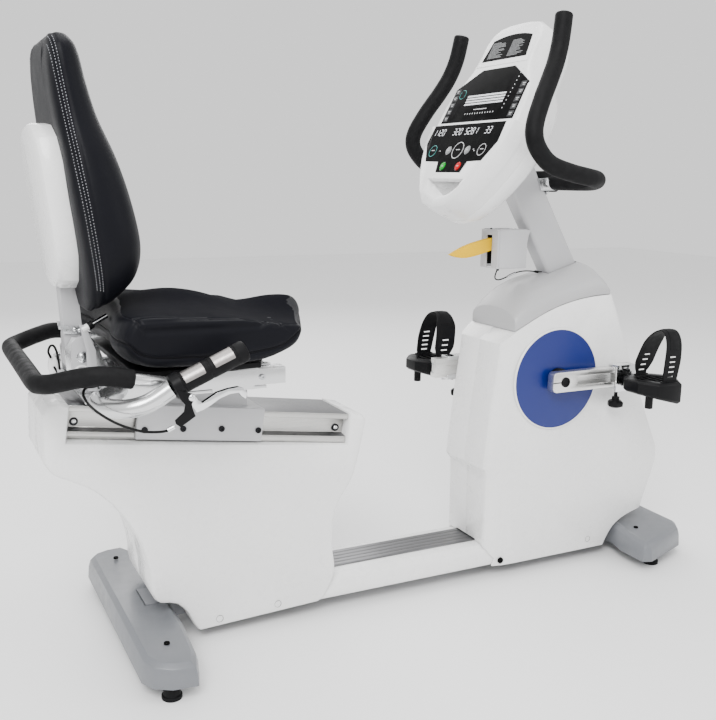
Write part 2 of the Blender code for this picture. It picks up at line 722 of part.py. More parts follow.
def slider(side, word):
    """The carrier that clamps a pedal to its crank arm, its clamp knob and the pedal."""
    toward = -side
    centre = CRANK_X + toward * CRANK_RADIUS[side]
    inner, outer = ARM_Y
    top = ARM_HIGH / 2 + 0.0006
    low_x, high_x = sorted((centre - toward * 0.047, centre + toward * 0.014))
    thick = 0.004
    middle_x = (low_x + high_x) / 2
    long_x = high_x - low_x
    back = outer + 0.0006
    lip = inner - 0.0006
    name = "crank_slider_" + word
    plate_z = (CRANK_Z - top - 0.012, CRANK_Z + top + thick)
    plate_mid = sum(plate_z) / 2
    plate = block((middle_x, side * (back + thick / 2), plate_mid), (long_x, thick, plate_z[1] - plate_z[0]))
    body = put(name, plate, "aluminium", (centre, side * back, CRANK_Z))
    reach = back + thick - (lip - 0.003)
    cross = lip - 0.003 + reach / 2
    join(body, block((middle_x, side * cross, CRANK_Z + top + thick / 2), (long_x, reach, thick)))
    join(body, block((middle_x, side * cross, CRANK_Z - top - 0.003), (long_x, reach, 0.006)))
    for up in (-1, 1):
        join(
            body,
            block((middle_x, side * (lip - 0.0015), CRANK_Z + up * (top - 0.001)), (long_x, 0.003, 0.010))
        )
    spindle_z = CRANK_Z - SPINDLE_DROP
    join(body, rod((centre, side * (back + 0.001), spindle_z), (centre, side * 0.158, spindle_z), 0.0115, 16))
    tip = side * (PEDAL_Y[1] - 0.020)
    spindle = rod((centre, side * 0.150, spindle_z), (centre, tip, spindle_z), 0.0060, 12)
    join(body, spindle)
    clamp_knob(side, word, (centre - toward * 0.030, side * (inner + outer) / 2))
    pedal(side, word, centre)


def clamp_knob(side, word, at):
    """A six-lobed knob on a short screw under the slider."""
    x, y = at
    top = CRANK_Z - ARM_HIGH / 2 - 0.0066 - GAP
    rings = []
    for z, r in ((top - 0.050, 0.010), (top - 0.046, 0.0185), (top - 0.036, 0.0190), (top - 0.031, 0.0140)):
        ring = []
        for i in range(36):
            a = 2 * math.pi * i / 36
            lobe = r * (1 + 0.07 * math.cos(6 * a))
            ring.append((x + lobe * math.cos(a), y + lobe * math.sin(a), z))
        rings.append(ring)
    knob = put("slider_knob_" + word, loft(rings), "black", (x, y, top), sharp=50)
    shank = rod((x, y, top - 0.023), (x, y, top), 0.0045, 12)
    join(knob, rod((x, y, top - 0.033), (x, y, top - 0.022), 0.0095, 16), shank)


def pedal_outline(centre, inset=0.0):
    """The plan of a pedal: a broad platform with round ends."""
    inner, outer = PEDAL_Y
    half = 0.066 - inset
    inner += inset
    outer -= inset
    corners = [
        (-half, outer - 0.045), (-half + 0.030, outer - 0.004), (0.0, outer), (half - 0.030, outer - 0.004)
    ]
    corners += [
        (half, outer - 0.045), (half, inner + 0.030), (half - 0.022, inner + 0.004), (half - 0.040, inner)
    ]
    corners += [(-half + 0.040, inner), (-half + 0.022, inner + 0.004), (-half, inner + 0.030)]
    return [(centre + x, y) for x, y in corners]


def pedal(side, word, centre):
    """A platform deeper at the toe, with a well for the sole, slots for the strap and a balance peg."""
    spindle_z = CRANK_Z - SPINDLE_DROP
    rings = []
    for share, inset in ((0.0, 0.005), (0.12, 0.0), (0.88, 0.0), (1.0, 0.005)):
        ring = []
        for x, y in pedal_outline(centre, inset):
            bottom = -0.026 - 0.26 * (x - centre)
            ring.append((x, side * y, spindle_z + bottom + (PEDAL_TOP - bottom) * share))
        rings.append(ring)
    inner, outer = PEDAL_Y
    body = put("pedal_" + word, loft(rings), "black", (centre, side * inner, spindle_z), sharp=35)
    peg_x = centre - 0.028
    peg_y = side * (sum(PEDAL_Y) / 2 + 0.018)
    join(body, rod((peg_x, peg_y, spindle_z - 0.047), (peg_x, peg_y, spindle_z - 0.010), 0.0095, 16))
    bore = rod(
        (centre, side * (inner - 0.01), spindle_z), (centre, side * (outer - 0.019), spindle_z), 0.0063, 12
    )
    cut(body, bore)
    well = [[(x, side * y, spindle_z + dz) for x, y in pedal_outline(centre, 0.021)] for dz in (0.0145, 0.03)]
    slots = []
    for y, half in zip(STRAP_Y, STRAP_FEET):
        slots.append(
            block((centre + 0.006, side * y, spindle_z + PEDAL_TOP), (2 * half + 0.0035, 0.0040, 0.0204))
        )
    cut(body, loft(well), *slots)
    pedal_strap(side, word, centre)


def strap_half(share):
    """Half the strap's width, from its inner foot (0) to its outer foot (1)."""
    inner, outer = STRAP_FEET
    table = [
        (0.0, inner), (0.14, inner), (0.22, 0.029), (0.34, 0.029), (0.46, 0.019), (0.62, 0.023), (0.76, 0.025)
    ]
    table += [(0.88, outer), (1.0, outer)]
    for low, high in zip(table, table[1:]):
        if share <= high[0] + 1e-9:
            return low[1] + (high[1] - low[1]) * (share - low[0]) / (high[0] - low[0])
    return outer


def pedal_strap(side, word, centre):
    """A broad rubber strap that arches over the shoe from one side of the pedal to the other."""
    spindle_z = CRANK_Z - SPINDLE_DROP
    inner, outer = STRAP_Y
    foot = PEDAL_TOP - 0.0096
    line = [(inner, foot), (inner, 0.024), (inner, 0.036), (inner + 0.004, 0.068), (inner + 0.015, 0.106)]
    line += [(inner + 0.032, 0.131), (inner + 0.052, 0.1405), (outer - 0.024, 0.135), (outer - 0.008, 0.112)]
    line += [(outer - 0.001, 0.076), (outer, 0.036), (outer, 0.024), (outer, foot)]
    path = curve_through([(y, z, 0.0) for y, z in line], 2)
    last = len(path) - 1
    rings = []
    for i, point in enumerate(path):
        along = (path[min(i + 1, last)] - path[max(i - 1, 0)]).normalized()
        out = Vector((-along.y, along.x, 0.0)) * 0.0015
        share = i / last
        half = strap_half(share)
        middle = centre + 0.006 + (0.30 - 0.20 * share) * max(0.0, point.y - 0.030)
        one = point + out
        two = point - out
        corners = ((middle - half, one), (middle + half, one), (middle + half, two), (middle - half, two))
        rings.append([(x, side * p.x, spindle_z + p.y) for x, p in corners])
    put("pedal_strap_" + word, loft(rings), "rubber", (centre, side * inner, spindle_z), sharp=60)


def flywheel():
    low, high = PULLEY_Y
    profile = [
        (FLYWHEEL_R, -0.012), (FLYWHEEL_R, 0.012), (0.030, 0.012), (0.030, 0.030), (SMALL_PULLEY_R, 0.030)
    ]
    profile += [(SMALL_PULLEY_R, high)]
    at = (FLYWHEEL_AT[0], 0, FLYWHEEL_AT[1])
    wheel = put("flywheel", turned([(0.016, -0.030), (0.016, -0.012)] + profile, FLYWHEEL_AT, 40), "iron", at)
    cut(wheel, turned([(0.0081, -0.05), (0.0081, 0.08)], FLYWHEEL_AT, 12))


def belt_outline(extra):
    """The line of the belt round both pulleys, with straight runs where it touches neither."""
    big = Vector((CRANK_X, CRANK_Z))
    small = Vector(FLYWHEEL_AT)
    apart = small - big
    lean = math.atan2(apart.y, apart.x)
    spread = math.acos((PULLEY_R - SMALL_PULLEY_R) / apart.length)
    points = []
    for centre, radius, start, stop, steps in (
        (big, PULLEY_R, lean + spread, lean + 2 * math.pi - spread, 36),
        (small, SMALL_PULLEY_R, lean - spread, lean + spread, 12),
    ):
        for i in range(steps + 1):
            a = start + (stop - start) * i / steps
            points.append(
                (centre.x + (radius + extra) * math.cos(a), centre.y + (radius + extra) * math.sin(a))
            )
    return points


def drive_belt():
    low, high = PULLEY_Y
    belt = put("drive_belt", prism(belt_outline(0.0024), low + 0.001, high - 0.001), "rubber")
    cut(belt, prism(belt_outline(0.0004), low - 0.01, high + 0.01))


# ---- console ----
def face_point(y, up, out):
    """A point measured across, up and out of the console's sloping face."""
    c = math.cos(FACE_LEAN)
    s = math.sin(FACE_LEAN)
    return (up * s - out * c, y, up * c + out * s)


def console_outline():
    half = [(0.0, 1.381), (0.040, 1.380), (0.074, 1.375), (0.096, 1.362), (0.106, 1.340), (0.108, 1.300)]
    half += [(0.115, 1.262)]
    half += [(0.132, 1.233), (0.156, 1.205), (0.168, 1.165), (0.172, 1.110), (0.166, 1.060), (0.149, 1.018)]
    half += [(0.122, 0.972), (0.090, 0.930), (0.050, 0.899), (0.0, 0.889)]
    return half + [(-y, s) for y, s in half[-2:0:-1]]


def chin_outline():
    """The raised lower half of the console face."""
    half = [(0.0, 1.112), (0.1735, 1.112), (0.1685, 1.060), (0.1515, 1.018), (0.1245, 0.972), (0.092, 0.930)]
    half += [(0.052, 0.898), (0.0, 0.888)]
    return half + [(-y, s) for y, s in half[-2:0:-1]]


def face_loft(levels, outline):
    """A solid through copies of a face outline: (out, scale about the middle of the console)."""
    middle = 1.130
    rings = []
    for out, scale in levels:
        rings.append([face_point(y * scale, middle + (s - middle) * scale, out) for y, s in outline])
    return loft(rings)


def face_rod(y, up, low, high, radius, sides=20):
    return rod(face_point(y, up, low), face_point(y, up, high), radius, sides)


def console_face():
    levels = ((FACE_SPLIT + GAP, 1.0), (FACE_OUT - 0.010, 1.0), (FACE_OUT - 0.003, 0.985), (FACE_OUT, 0.955))
    shell = put("console_face", face_loft(levels, console_outline()), "white", sharp=35)
    chin = chin_outline()
    rings = []
    for out, inset in ((0.230, 0.0), (CHIN_OUT - 0.010, 0.0), (CHIN_OUT - 0.003, 0.002), (CHIN_OUT, 0.008)):
        rings.append([face_point(y, s, out) for y, s in offset(chin, inset)])
    join(shell, loft(rings))
    cut(shell, face_loft(((FACE_SPLIT - 0.02, 0.975), (FACE_OUT - 0.006, 0.955)), console_outline()))
    tray = [(-0.082, 0.963), (0.070, 0.963), (0.060, 0.945), (0.038, 0.928), (-0.006, 0.914), (-0.050, 0.926)]
    tray += [(-0.074, 0.945)]
    cut(shell, loft([[face_point(y, s, out) for y, s in offset(tray, -0.001)] for out in (0.2560, 0.290)]))
    for y, up in KEYS.values():
        cut(shell, face_rod(y, up, CHIN_OUT - 0.0042, CHIN_OUT + 0.01, 0.0108))


def keys():
    colours = {"start_key": "green", "stop_key": "red", "level_up_key": "black", "level_down_key": "black"}
    for name, (y, up) in KEYS.items():
        at = face_point(y, up, CHIN_OUT)
        put(name, face_rod(y, up, CHIN_OUT - 0.0028, CHIN_OUT + 0.0014, 0.0102), colours[name], at)


def console_back():
    levels = ((FACE_SPLIT, 1.0), (0.180, 0.985), (0.160, 0.93), (0.146, 0.84), (0.138, 0.70))
    shell = put("console_back", face_loft(levels, console_outline()), "white", sharp=35)
    room = ((FACE_SPLIT + 0.01, 0.975), (0.180, 0.960), (0.160, 0.905), (0.1495, 0.82), (0.1415, 0.68))
    cut(shell, face_loft(room, console_outline()))
    cut(shell, mast_block((0.20, 0.36), MAST_DEEP + 0.003, MAST_WIDE + 0.003))


# ---- handlebar ----


def bar_side(side):
    """The bent arm of the handlebar, from its upper end to the cross tube."""
    line = [(0.3665, 0.201, 1.338), (0.356, 0.207, 1.278), (0.340, 0.215, 1.232), (0.318, 0.225, 1.192)]
    line += [(0.291, 0.238, 1.149), (0.266, 0.251, 1.100), (0.2625, 0.256, 1.068), (0.278, 0.256, 1.040)]
    line += [(0.311, 0.255, 1.014), (0.369, 0.252, 0.998), (0.423, 0.247, 0.989), (0.457, 0.232, 0.985)]
    line += [(0.477, 0.208, 0.981), (BAR_AT[0], 0.174, 0.978), (BAR_AT[0], 0.120, BAR_AT[1])]
    return curve_through([(x, side * y, z) for x, y, z in line], 2)


def handlebar():
    right = bar_side(-1)
    whole = right + [Vector((BAR_AT[0], 0.0, BAR_AT[1]))] + bar_side(1)[::-1]
    bar = put("handlebar", sweep(whole, BAR_R, 8), "steel", sharp=50)
    plate = [mast_point(*at) for at in ((0.189, 0.0444), (0.240, 0.0444), (0.240, 0.0540), (0.189, 0.0540))]
    join(bar, prism(plate, -0.023, 0.023))
    for word, side in (("right", -1), ("left", 1)):
        path = bar_side(side) + [Vector((BAR_AT[0], side * 0.052, BAR_AT[1]))]
        put("handlebar_grip_" + word, sweep(path, FOAM_R, 12, BAR_R + 0.0006), "foam", sharp=50)


# ---- step-through lock ----


def lever_box():
    """The folded box on the mast, slotted for the lever."""
    middle = (sum(BOX_X) / 2, 0, sum(BOX_Z) / 2)
    size = (BOX_X[1] - BOX_X[0], 0.070, BOX_Z[1] - BOX_Z[0])
    box = put("lever_box", block(middle, size), "pale")
    room = (size[0] - 0.005, size[1] - 0.005, size[2] - 0.0025)
    slot = block((BOX_X[0], 0, sum(BOX_Z) / 2 - 0.006), (0.030, 0.022, size[2] - 0.014))
    cut(box, block((middle[0], 0, middle[2] - 0.0035), room), slot)
    tab_outline = [
        (0.400, 0.861), (0.424, 0.861), (0.4335, 0.861), (0.428, 0.850), (0.424, 0.830), (0.400, 0.845)
    ]
    tab = prism(tab_outline, -0.0352, -0.0252)
    join(box, tab)
    pin = rod((LEVER_AT[0], -0.034, LEVER_AT[1]), (LEVER_AT[0], 0.034, LEVER_AT[1]), 0.004, 12)
    join(box, pin)


def lock_lever():
    """A flat blade that sticks out of the box towards the rider, pointed at its tip."""
    outline = curve_through(
        [(0.405, 0.826), (0.360, 0.842), (0.310, 0.836), (0.262, 0.822), (0.223, 0.803)], 2
    )
    under = [(0.223, 0.803), (0.240, 0.797), (0.268, 0.795), (0.310, 0.803), (0.360, 0.816), (0.395, 0.803)]
    outline += curve_through(under, 2)[1:]
    at = (LEVER_AT[0], 0, LEVER_AT[1])
    blade = put("lock_lever", prism([(x, z) for x, z in flat(outline)], -0.007, 0.007), "yellow", at)
    join(blade, turned([(0.013, -0.007), (0.013, 0.007)], LEVER_AT, 16))
    cut(blade, turned([(0.0045, -0.02), (0.0045, 0.02)], LEVER_AT, 12))


def flat(points):
    return [(p[0], p[1]) for p in points]


def cable(name, points, radius, finish, steps):
    """A cable as a bevelled curve along a smooth route."""
    route = curve_through(points, steps)
    data = bpy.data.curves.new(name, "CURVE")
    data.dimensions = "3D"
    data.bevel_depth = radius
    data.bevel_resolution = 2
    data.use_fill_caps = True
    spline = data.splines.new("POLY")
    spline.points.add(len(route) - 1)
    for place, point in zip(spline.points, route):
        place.co = (*point, 1.0)
    data.materials.append(FINISH[finish])
    made = bpy.data.objects.new(name, data)
    bpy.context.scene.collection.objects.link(made)
    made.parent = BIKE
    return made


def lock_cable():
    route = [(0.356, -0.012, 0.7665), (0.350, -0.012, 0.752), (0.351, -0.012, 0.7425), (0.363, -0.012, 0.740)]
    route += [(0.384, -0.012, 0.746), (0.408, -0.012, 0.755), (0.432, -0.012, 0.759), (0.456, -0.012, 0.7585)]
    route += [(0.478, -0.012, 0.7555), (0.4905, -0.012, 0.7555)]
    cable("lock_cable", route, 0.0016, "black", 4)


# ---- seat carriage ----


def seat_carriage():
    """The slide that straddles the rail, with a wedge on top that carries the level seat base."""
    shift = (CARRIAGE_X - RAIL_MID[0]) / math.cos(RAIL_PITCH)
    along = (shift - CARRIAGE_LENGTH / 2, shift + CARRIAGE_LENGTH / 2)
    top = RAIL_HIGH / 2
    slide = put("seat_carriage", rail_block(along, (-top + 0.003, top + 0.008), (-0.0880, 0.0880)), "pale")
    long_room = (along[0] - 0.01, along[1] + 0.01)
    cut(slide, rail_block(long_room, (-top - 0.01, top + 0.0006), (-RAIL_HALF - 0.0012, RAIL_HALF + 0.0012)))
    low = rail_point(shift, top + 0.006)[1]
    wedge = [
        (-0.535, low + 0.016), (-0.310, low - 0.013), (-0.310, SEAT_PLATE[0] - GAP),
        (-0.535, SEAT_PLATE[0] - GAP)
    ]
    join(slide, prism(wedge, -0.062, 0.062))


def seat_frame():
    """The welded seat base: plate, two long tubes, cross tubes and the ears of the recline hinge."""
    low, high = SEAT_PLATE
    frame = put("seat_frame", block((-0.470, 0, (low + high) / 2), (0.370, 0.220, high - low)), "steel")
    inner, outer = TUBE_Y
    for side in (-1, 1):
        y = side * (inner + outer) / 2
        join(frame, block((-0.434, y, 0.574), (0.372, outer - inner, 0.034)))
        join(
            frame, block((-0.360, y, 0.554), (0.090, 0.026, 0.012)),
            block((-0.560, y, 0.554), (0.100, 0.026, 0.012))
        )
    for x in (-0.600, -0.420, -0.285):
        join(frame, block((x, 0, 0.579), (0.034, 2 * inner + 0.004, 0.030)))
    for x in (-0.540, -0.330):
        join(frame, block((x, 0, 0.600), (0.044, 2 * outer - 0.002, 0.020)))
    ear = [
        (-0.672, 0.560), (-0.600, 0.560), (-0.592, 0.585), (-0.610, 0.640), (-0.624, 0.662),
        (-0.662, 0.664), (-0.676, 0.640)
    ]
    for side in (-1, 1):
        near, far = sorted((side * 0.0245, side * 0.0305))
        join(frame, prism(ear, near, far))
    join(frame, block((-0.634, 0, 0.5665), (0.070, 0.061, 0.013)))
    pin_x, pin_z = RECLINE_AT
    join(frame, rod((pin_x, -0.0365, pin_z), (pin_x, 0.0365, pin_z), 0.0070, 16))


def seat_pan():
    """The board under the cushion."""
    outline = [
        (-0.585, 0.0), (-0.585, 0.185), (-0.555, 0.215), (-0.300, 0.205), (-0.255, 0.160), (-0.245, 0.0)
    ]
    whole = outline + [(x, -y) for x, y in outline[-2:0:-1]]
    put("seat_pan", loft([[(x, y, z) for x, y in whole] for z in (0.6105, 0.6225)]), "black")


def seat_section(y):
    """The (x, z) outline of the cushion at one distance from the middle."""
    share = abs(y) / 0.250
    front = -0.172 - 0.41 * (math.hypot(y, 0.030) - 0.030)
    rear = -0.600 - 0.048 * share ** 2 * (1 - share ** 4)
    long = front - rear
    top = []
    for along, middle_z, edge_z in SEAT_TOP:
        top.append((rear + long * along, middle_z + (edge_z - middle_z) * share ** 2.5))
    lift = 0.010 * share ** 4
    bottom = [(front - 0.001, 0.678 + lift), (front - 0.010, 0.657 + lift), (front - 0.034, 0.641 + lift)]
    bottom += [(front - 0.090, 0.632), (-0.440, 0.630), (rear + 0.050, 0.634), (rear + 0.014, 0.648 + lift)]
    bottom += [(rear, 0.672 + lift)]
    return top + bottom


def seat_cushion():
    widths = (-0.250, -0.247, -0.238, -0.215, -0.170, -0.085, 0.0, 0.085, 0.170, 0.215, 0.238, 0.247, 0.250)
    rings = []
    for y in widths:
        section = seat_section(y)
        shrink = 0.010 if abs(y) > 0.249 else (0.003 if abs(y) > 0.245 else 0.0)
        rings.append([(x, y, z) for x, z in offset(section, shrink)])
    put("seat_cushion", loft(rings), "vinyl", sharp=60)


def rear_handle_route():
    end = Vector((-0.500, -0.1246, 0.5775))
    line = [
        (-0.500, -0.150, 0.5775), (-0.508, -0.200, 0.590), (-0.528, -0.242, 0.6040), (-0.560, -0.265, 0.6140)
    ]
    line += [(-0.602, -0.2720, 0.6240), (-0.650, -0.266, 0.6320), (-0.690, -0.246, 0.6270)]
    line += [
        (-0.730, -0.226, 0.6170), (-0.7480, -0.206, 0.6135), (-0.7535, -0.180, 0.6125),
        (-0.7535, -0.080, 0.6120)
    ]
    half = [end] + curve_through(line, 2)
    return half + [Vector((x, -y, z)) for x, y, z in half[::-1]]


def rear_handle():
    route = rear_handle_route()
    put("rear_handle", sweep(route, BAR_R, 8), "steel", sharp=50)
    grip = route[9:-9]
    put("rear_handle_grip", sweep(grip, FOAM_R - 0.001, 12, BAR_R + 0.0006), "foam", sharp=50)


def side_route(side):
    """One arm of the side handles, from the seat base out past the rider and forward to the grip."""
    end = Vector((-0.596, side * 0.1246, 0.5740))
    line = [
        (-0.596, 0.134, 0.5740), (-0.616, 0.165, 0.5740), (-0.648, 0.200, 0.5730), (-0.643, 0.245, 0.5700)
    ]
    line += [(-0.612, 0.276, 0.5715), (-0.576, 0.2885, 0.5820), GRIP_START]
    return [end] + curve_through([(x, side * y, z) for x, y, z in line], 3)


def side_handles():
    for side, word in ((-1, "right"), (1, "left")):
        route = side_route(side)
        end = Vector(GRIP_END)
        end.y *= side
        start = route[-1]
        tip = start.lerp(end, 0.93)
        arm = put("side_handle_" + word, sweep(route, SIDE_TUBE_R, 12), "steel", sharp=50)
        join(arm, rod(start.lerp(end, -0.02), tip, 0.0125, 10))
        grip_route = [start.lerp(end, 0.022), end]
        grip = put("hand_grip_" + word, rod(grip_route[0], grip_route[1], GRIP_R, 20), "rubber", sharp=50)
        cut(grip, rod(start.lerp(end, -0.05), start.lerp(end, 0.935), 0.0130, 10))


def lever_bracket():
    """The arm on the right grip's clamp that holds the slide-release lever and its cable stop."""
    outline = [
        (-0.5280, 0.6070), (-0.5050, 0.5985), (-0.5020, 0.5900), (-0.5075, 0.5810), (-0.5065, 0.5725),
        (-0.5010, 0.5575)
    ]
    outline += [(-0.5170, 0.5475), (-0.5290, 0.5400), (-0.5370, 0.5465), (-0.5385, 0.5535), (-0.5220, 0.5675)]
    outline += [(-0.5195, 0.5800), (-0.5280, 0.5900), (-0.5340, 0.6040)]
    x, _, z = LEVER_PIVOT
    bracket = put("lever_bracket", prism(outline, -0.3205, -0.3172), "black")
    join(bracket, rod((x, -0.3190, z), (x, -0.3040, z), 0.0032, 12))


def seat_lever():
    """A cast hand lever under the right grip, cranked up to a hooked finger end."""
    x, y, z = LEVER_PIVOT
    shape = [
        (-0.006, 0.002), (0.0, 0.0065), (0.007, 0.002), (0.013, -0.0075), (0.020, -0.0125), (0.032, -0.0055)
    ]
    shape += [
        (0.048, 0.0040), (0.069, 0.0090), (0.089, 0.0110), (0.100, 0.0065), (0.105, -0.0025), (0.102, -0.0125)
    ]
    shape += [(0.094, -0.0065), (0.089, 0.0005), (0.072, -0.0005), (0.052, -0.0075), (0.035, -0.0185)]
    shape += [(0.021, -0.0255), (0.009, -0.0290), (0.003, -0.0195), (-0.005, -0.0055)]
    outline = [(x + dx, z + dz) for dx, dz in shape]
    lever = put("seat_lever", prism(outline, y - 0.0055, y + 0.0055), "aluminium", LEVER_PIVOT)
    cut(lever, rod((x, y - 0.02, z), (x, y + 0.02, z), 0.0036, 12))


def seat_cable():
    route = [
        (-0.5460, -0.3175, 0.5370), (-0.566, -0.3175, 0.5350), (-0.600, -0.314, 0.5395),
        (-0.640, -0.302, 0.5560)
    ]
    route += [
        (-0.672, -0.283, 0.5790), (-0.6840, -0.262, 0.5980), (-0.6760, -0.238, 0.6070),
        (-0.6560, -0.214, 0.6030)
    ]
    route += [(-0.634, -0.188, 0.6030), (-0.616, -0.158, 0.6030), (-0.600, -0.132, 0.5990)]
    cable("seat_cable", route, 0.0025, "black", 5)


# ---- backrest ----
def backrest_line(z):
    """(rear x, front x, half width) of the backrest cushion at a height."""
    table = [
        (0.735, -0.6475, -0.628, 0.100),
        (0.752, -0.6490, -0.592, 0.142),
        (0.790, -0.6510, -0.562, 0.176),
        (0.846, -0.6560, -0.548, 0.194),
        (0.927, -0.6670, -0.558, 0.196),
        (1.006, -0.6760, -0.582, 0.182),
        (1.080, -0.6860, -0.612, 0.160),
        (1.145, -0.6930, -0.629, 0.148),
        (1.185, -0.6960, -0.637, 0.141),
        (1.210, -0.6950, -0.644, 0.130),
        (1.226, -0.6890, -0.656, 0.108),
    ]
    for low, high in zip(table, table[1:]):
        if z <= high[0] + 1e-9:
            share = (z - low[0]) / (high[0] - low[0])
            return [a + (b - a) * share for a, b in zip(low[1:], high[1:])]
    return list(table[-1][1:])


def backrest_ring(z):
    rear, front, half = backrest_line(z)
    deep = front - rear
    points = [(rear, 0.0), (rear, half * 0.80), (rear + 0.15 * deep, half * 0.97), (rear + 0.42 * deep, half)]
    points += [
        (rear + 0.72 * deep, half * 0.94), (rear + 0.92 * deep, half * 0.78), (front, half * 0.52),
        (front - 0.06 * deep, 0.0)
    ]
    return [(x, y, z) for x, y in points] + [(x, -y, z) for x, y in points[-2:0:-1]]


def mast_room():
    """The slot that takes the backrest mast, open at its lower end."""
    return block((-0.6655, 0, 0.800), (0.042, 0.050, 0.410), math.radians(-3.5))


def backrest_cushion():
    heights = (0.735, 0.752, 0.790, 0.846, 0.890, 0.927, 1.006, 1.080, 1.145, 1.185, 1.210, 1.226)
    pad = put("backrest_cushion", loft([backrest_ring(z) for z in heights]), "vinyl", sharp=60)
    cut(pad, mast_room())


def backrest_panel():
    """The hard cover on the back of the backrest."""
    outline = [(0.0, 1.072), (0.060, 1.066), (0.098, 1.044), (0.116, 1.000), (0.118, 0.900), (0.110, 0.830)]
    outline += [(0.080, 0.780), (0.040, 0.762), (0.0, 0.758)]
    whole = outline + [(-y, z) for y, z in outline[-2:0:-1]]
    rings = []
    for back, inset in ((0.0008, 0.0), (0.030, 0.001), (0.039, 0.006), (0.045, 0.022)):
        ring = []
        for y, z in offset(whole, inset):
            ring.append((backrest_line(z)[0] - back, y, z))
        rings.append(ring)
    panel = put("backrest_panel", loft(rings), "white", sharp=40)
    cut(panel, mast_room())


def backrest_mast():
    """The flat tube that carries the backrest, hinged between the ears of the seat base."""
    lean = math.radians(-3.5)
    mast = put(
        "backrest_mast", block((-0.6655, 0, 0.820), (0.034, 0.046, 0.340), lean), "pale",
        (RECLINE_AT[0], 0, RECLINE_AT[1])
    )
    join(mast, block((-0.6520, 0, 0.637), (0.044, 0.046, 0.062)))
    cut(mast, rod((RECLINE_AT[0], -0.05, RECLINE_AT[1]), (RECLINE_AT[0], 0.05, RECLINE_AT[1]), 0.0073, 16))


def build():
    main_frame()
    levelers()
    beam_cover()
    beam_tread()
    feet()
    seat_rail()
    rear_shroud()
    front_shroud()
    mast_cowl()
    console_mast()
    crank_parts()
    slider(-1, "right")
    slider(1, "left")
    flywheel()
    drive_belt()
    console_face()
    console_back()
    keys()
    handlebar()
    lever_box()
    lock_lever()
    lock_cable()
    seat_carriage()
    seat_frame()
    seat_pan()
    seat_cushion()
    rear_handle()
    side_handles()
    lever_bracket()
    seat_lever()
    seat_cable()
    backrest_cushion()
    backrest_panel()
    backrest_mast()


clear_scene()
FINISH = finishes()
BIKE = bpy.data.objects.new("bike", None)
bpy.context.scene.collection.objects.link(BIKE)
BIKE.location.x = BIKE_SHIFT
build()
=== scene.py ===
"""The looks of the recumbent exercise bike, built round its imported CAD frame.

Lengths are in metres, in the frame's axes: +X from the seat to the console, +Y to the rider's left,
+Z up. SIDES pairs each side's name with its sign along Y.
"""

import json
import math
import random

import bmesh
import bpy
import numpy as np
from mathutils import Matrix, Vector
from mathutils.geometry import interpolate_bezier

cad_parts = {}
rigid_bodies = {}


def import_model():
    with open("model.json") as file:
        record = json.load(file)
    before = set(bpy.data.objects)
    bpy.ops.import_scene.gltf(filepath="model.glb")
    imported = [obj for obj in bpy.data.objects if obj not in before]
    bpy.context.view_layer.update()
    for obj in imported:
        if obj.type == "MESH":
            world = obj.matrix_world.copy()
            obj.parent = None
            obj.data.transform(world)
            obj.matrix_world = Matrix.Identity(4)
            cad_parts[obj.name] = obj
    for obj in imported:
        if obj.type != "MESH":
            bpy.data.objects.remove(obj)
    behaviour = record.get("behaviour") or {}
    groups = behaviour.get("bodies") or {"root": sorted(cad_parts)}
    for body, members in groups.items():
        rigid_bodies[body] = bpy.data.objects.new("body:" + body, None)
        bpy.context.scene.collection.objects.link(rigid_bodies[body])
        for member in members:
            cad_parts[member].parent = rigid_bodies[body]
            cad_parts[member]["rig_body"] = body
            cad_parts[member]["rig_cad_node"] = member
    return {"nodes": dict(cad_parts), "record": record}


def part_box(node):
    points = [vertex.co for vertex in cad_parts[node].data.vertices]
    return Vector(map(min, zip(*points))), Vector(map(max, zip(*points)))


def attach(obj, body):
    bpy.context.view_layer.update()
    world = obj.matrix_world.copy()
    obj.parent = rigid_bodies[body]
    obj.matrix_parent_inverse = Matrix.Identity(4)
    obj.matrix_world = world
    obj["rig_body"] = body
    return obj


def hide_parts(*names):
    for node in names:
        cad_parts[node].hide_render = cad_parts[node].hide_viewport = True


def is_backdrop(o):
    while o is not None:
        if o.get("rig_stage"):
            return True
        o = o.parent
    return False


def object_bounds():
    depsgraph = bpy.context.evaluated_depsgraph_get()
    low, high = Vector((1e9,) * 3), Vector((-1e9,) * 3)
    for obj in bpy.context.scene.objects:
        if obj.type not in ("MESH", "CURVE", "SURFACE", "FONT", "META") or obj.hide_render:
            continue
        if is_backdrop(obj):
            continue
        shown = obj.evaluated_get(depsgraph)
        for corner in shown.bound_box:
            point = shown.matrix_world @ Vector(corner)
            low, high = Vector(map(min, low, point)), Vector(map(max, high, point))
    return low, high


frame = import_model()
BODY_OF = {node: body for body, nodes in frame["record"]["behaviour"]["bodies"].items() for node in nodes}
SIZE_AT_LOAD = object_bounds()

SHIFT = -0.0607
SIDES = (("right", -1), ("left", 1))

RAIL_PITCH = math.radians(7.4)
RAIL_MID = Vector((-0.383 + SHIFT, 0, 0.4667))
MAST_FOOT = Vector((0.547 + SHIFT, 0, 0.7625))
MAST_LEAN = math.radians(31.4)
FACE_LEAN = math.radians(27.3)
CRANK = Vector((0.483 + SHIFT, 0, 0.499))
CRANK_RADIUS = {"right": 0.2, "left": 0.165}
SPINDLE_Z = 0.487
PEDAL_Y = (0.166, 0.288)
PEDAL_TOP = 0.0215
STRAP_Y = (0.176, 0.272)
GRIP_START = (-0.538, 0.295, 0.606)
GRIP_END = (-0.398, 0.301, 0.668)
ARM_TIP = 0.214
KEY_SPOTS = {
    "start_key": (0.03, 0.996),
    "stop_key": (-0.036, 0.996),
    "level_up_key": (-0.045, 1.037),
    "level_down_key": (0.035, 1.037),
}
PLACARD_TOP = 0.2638
WINDOW_TOP = 0.263
PANEL_TOP = 0.2728


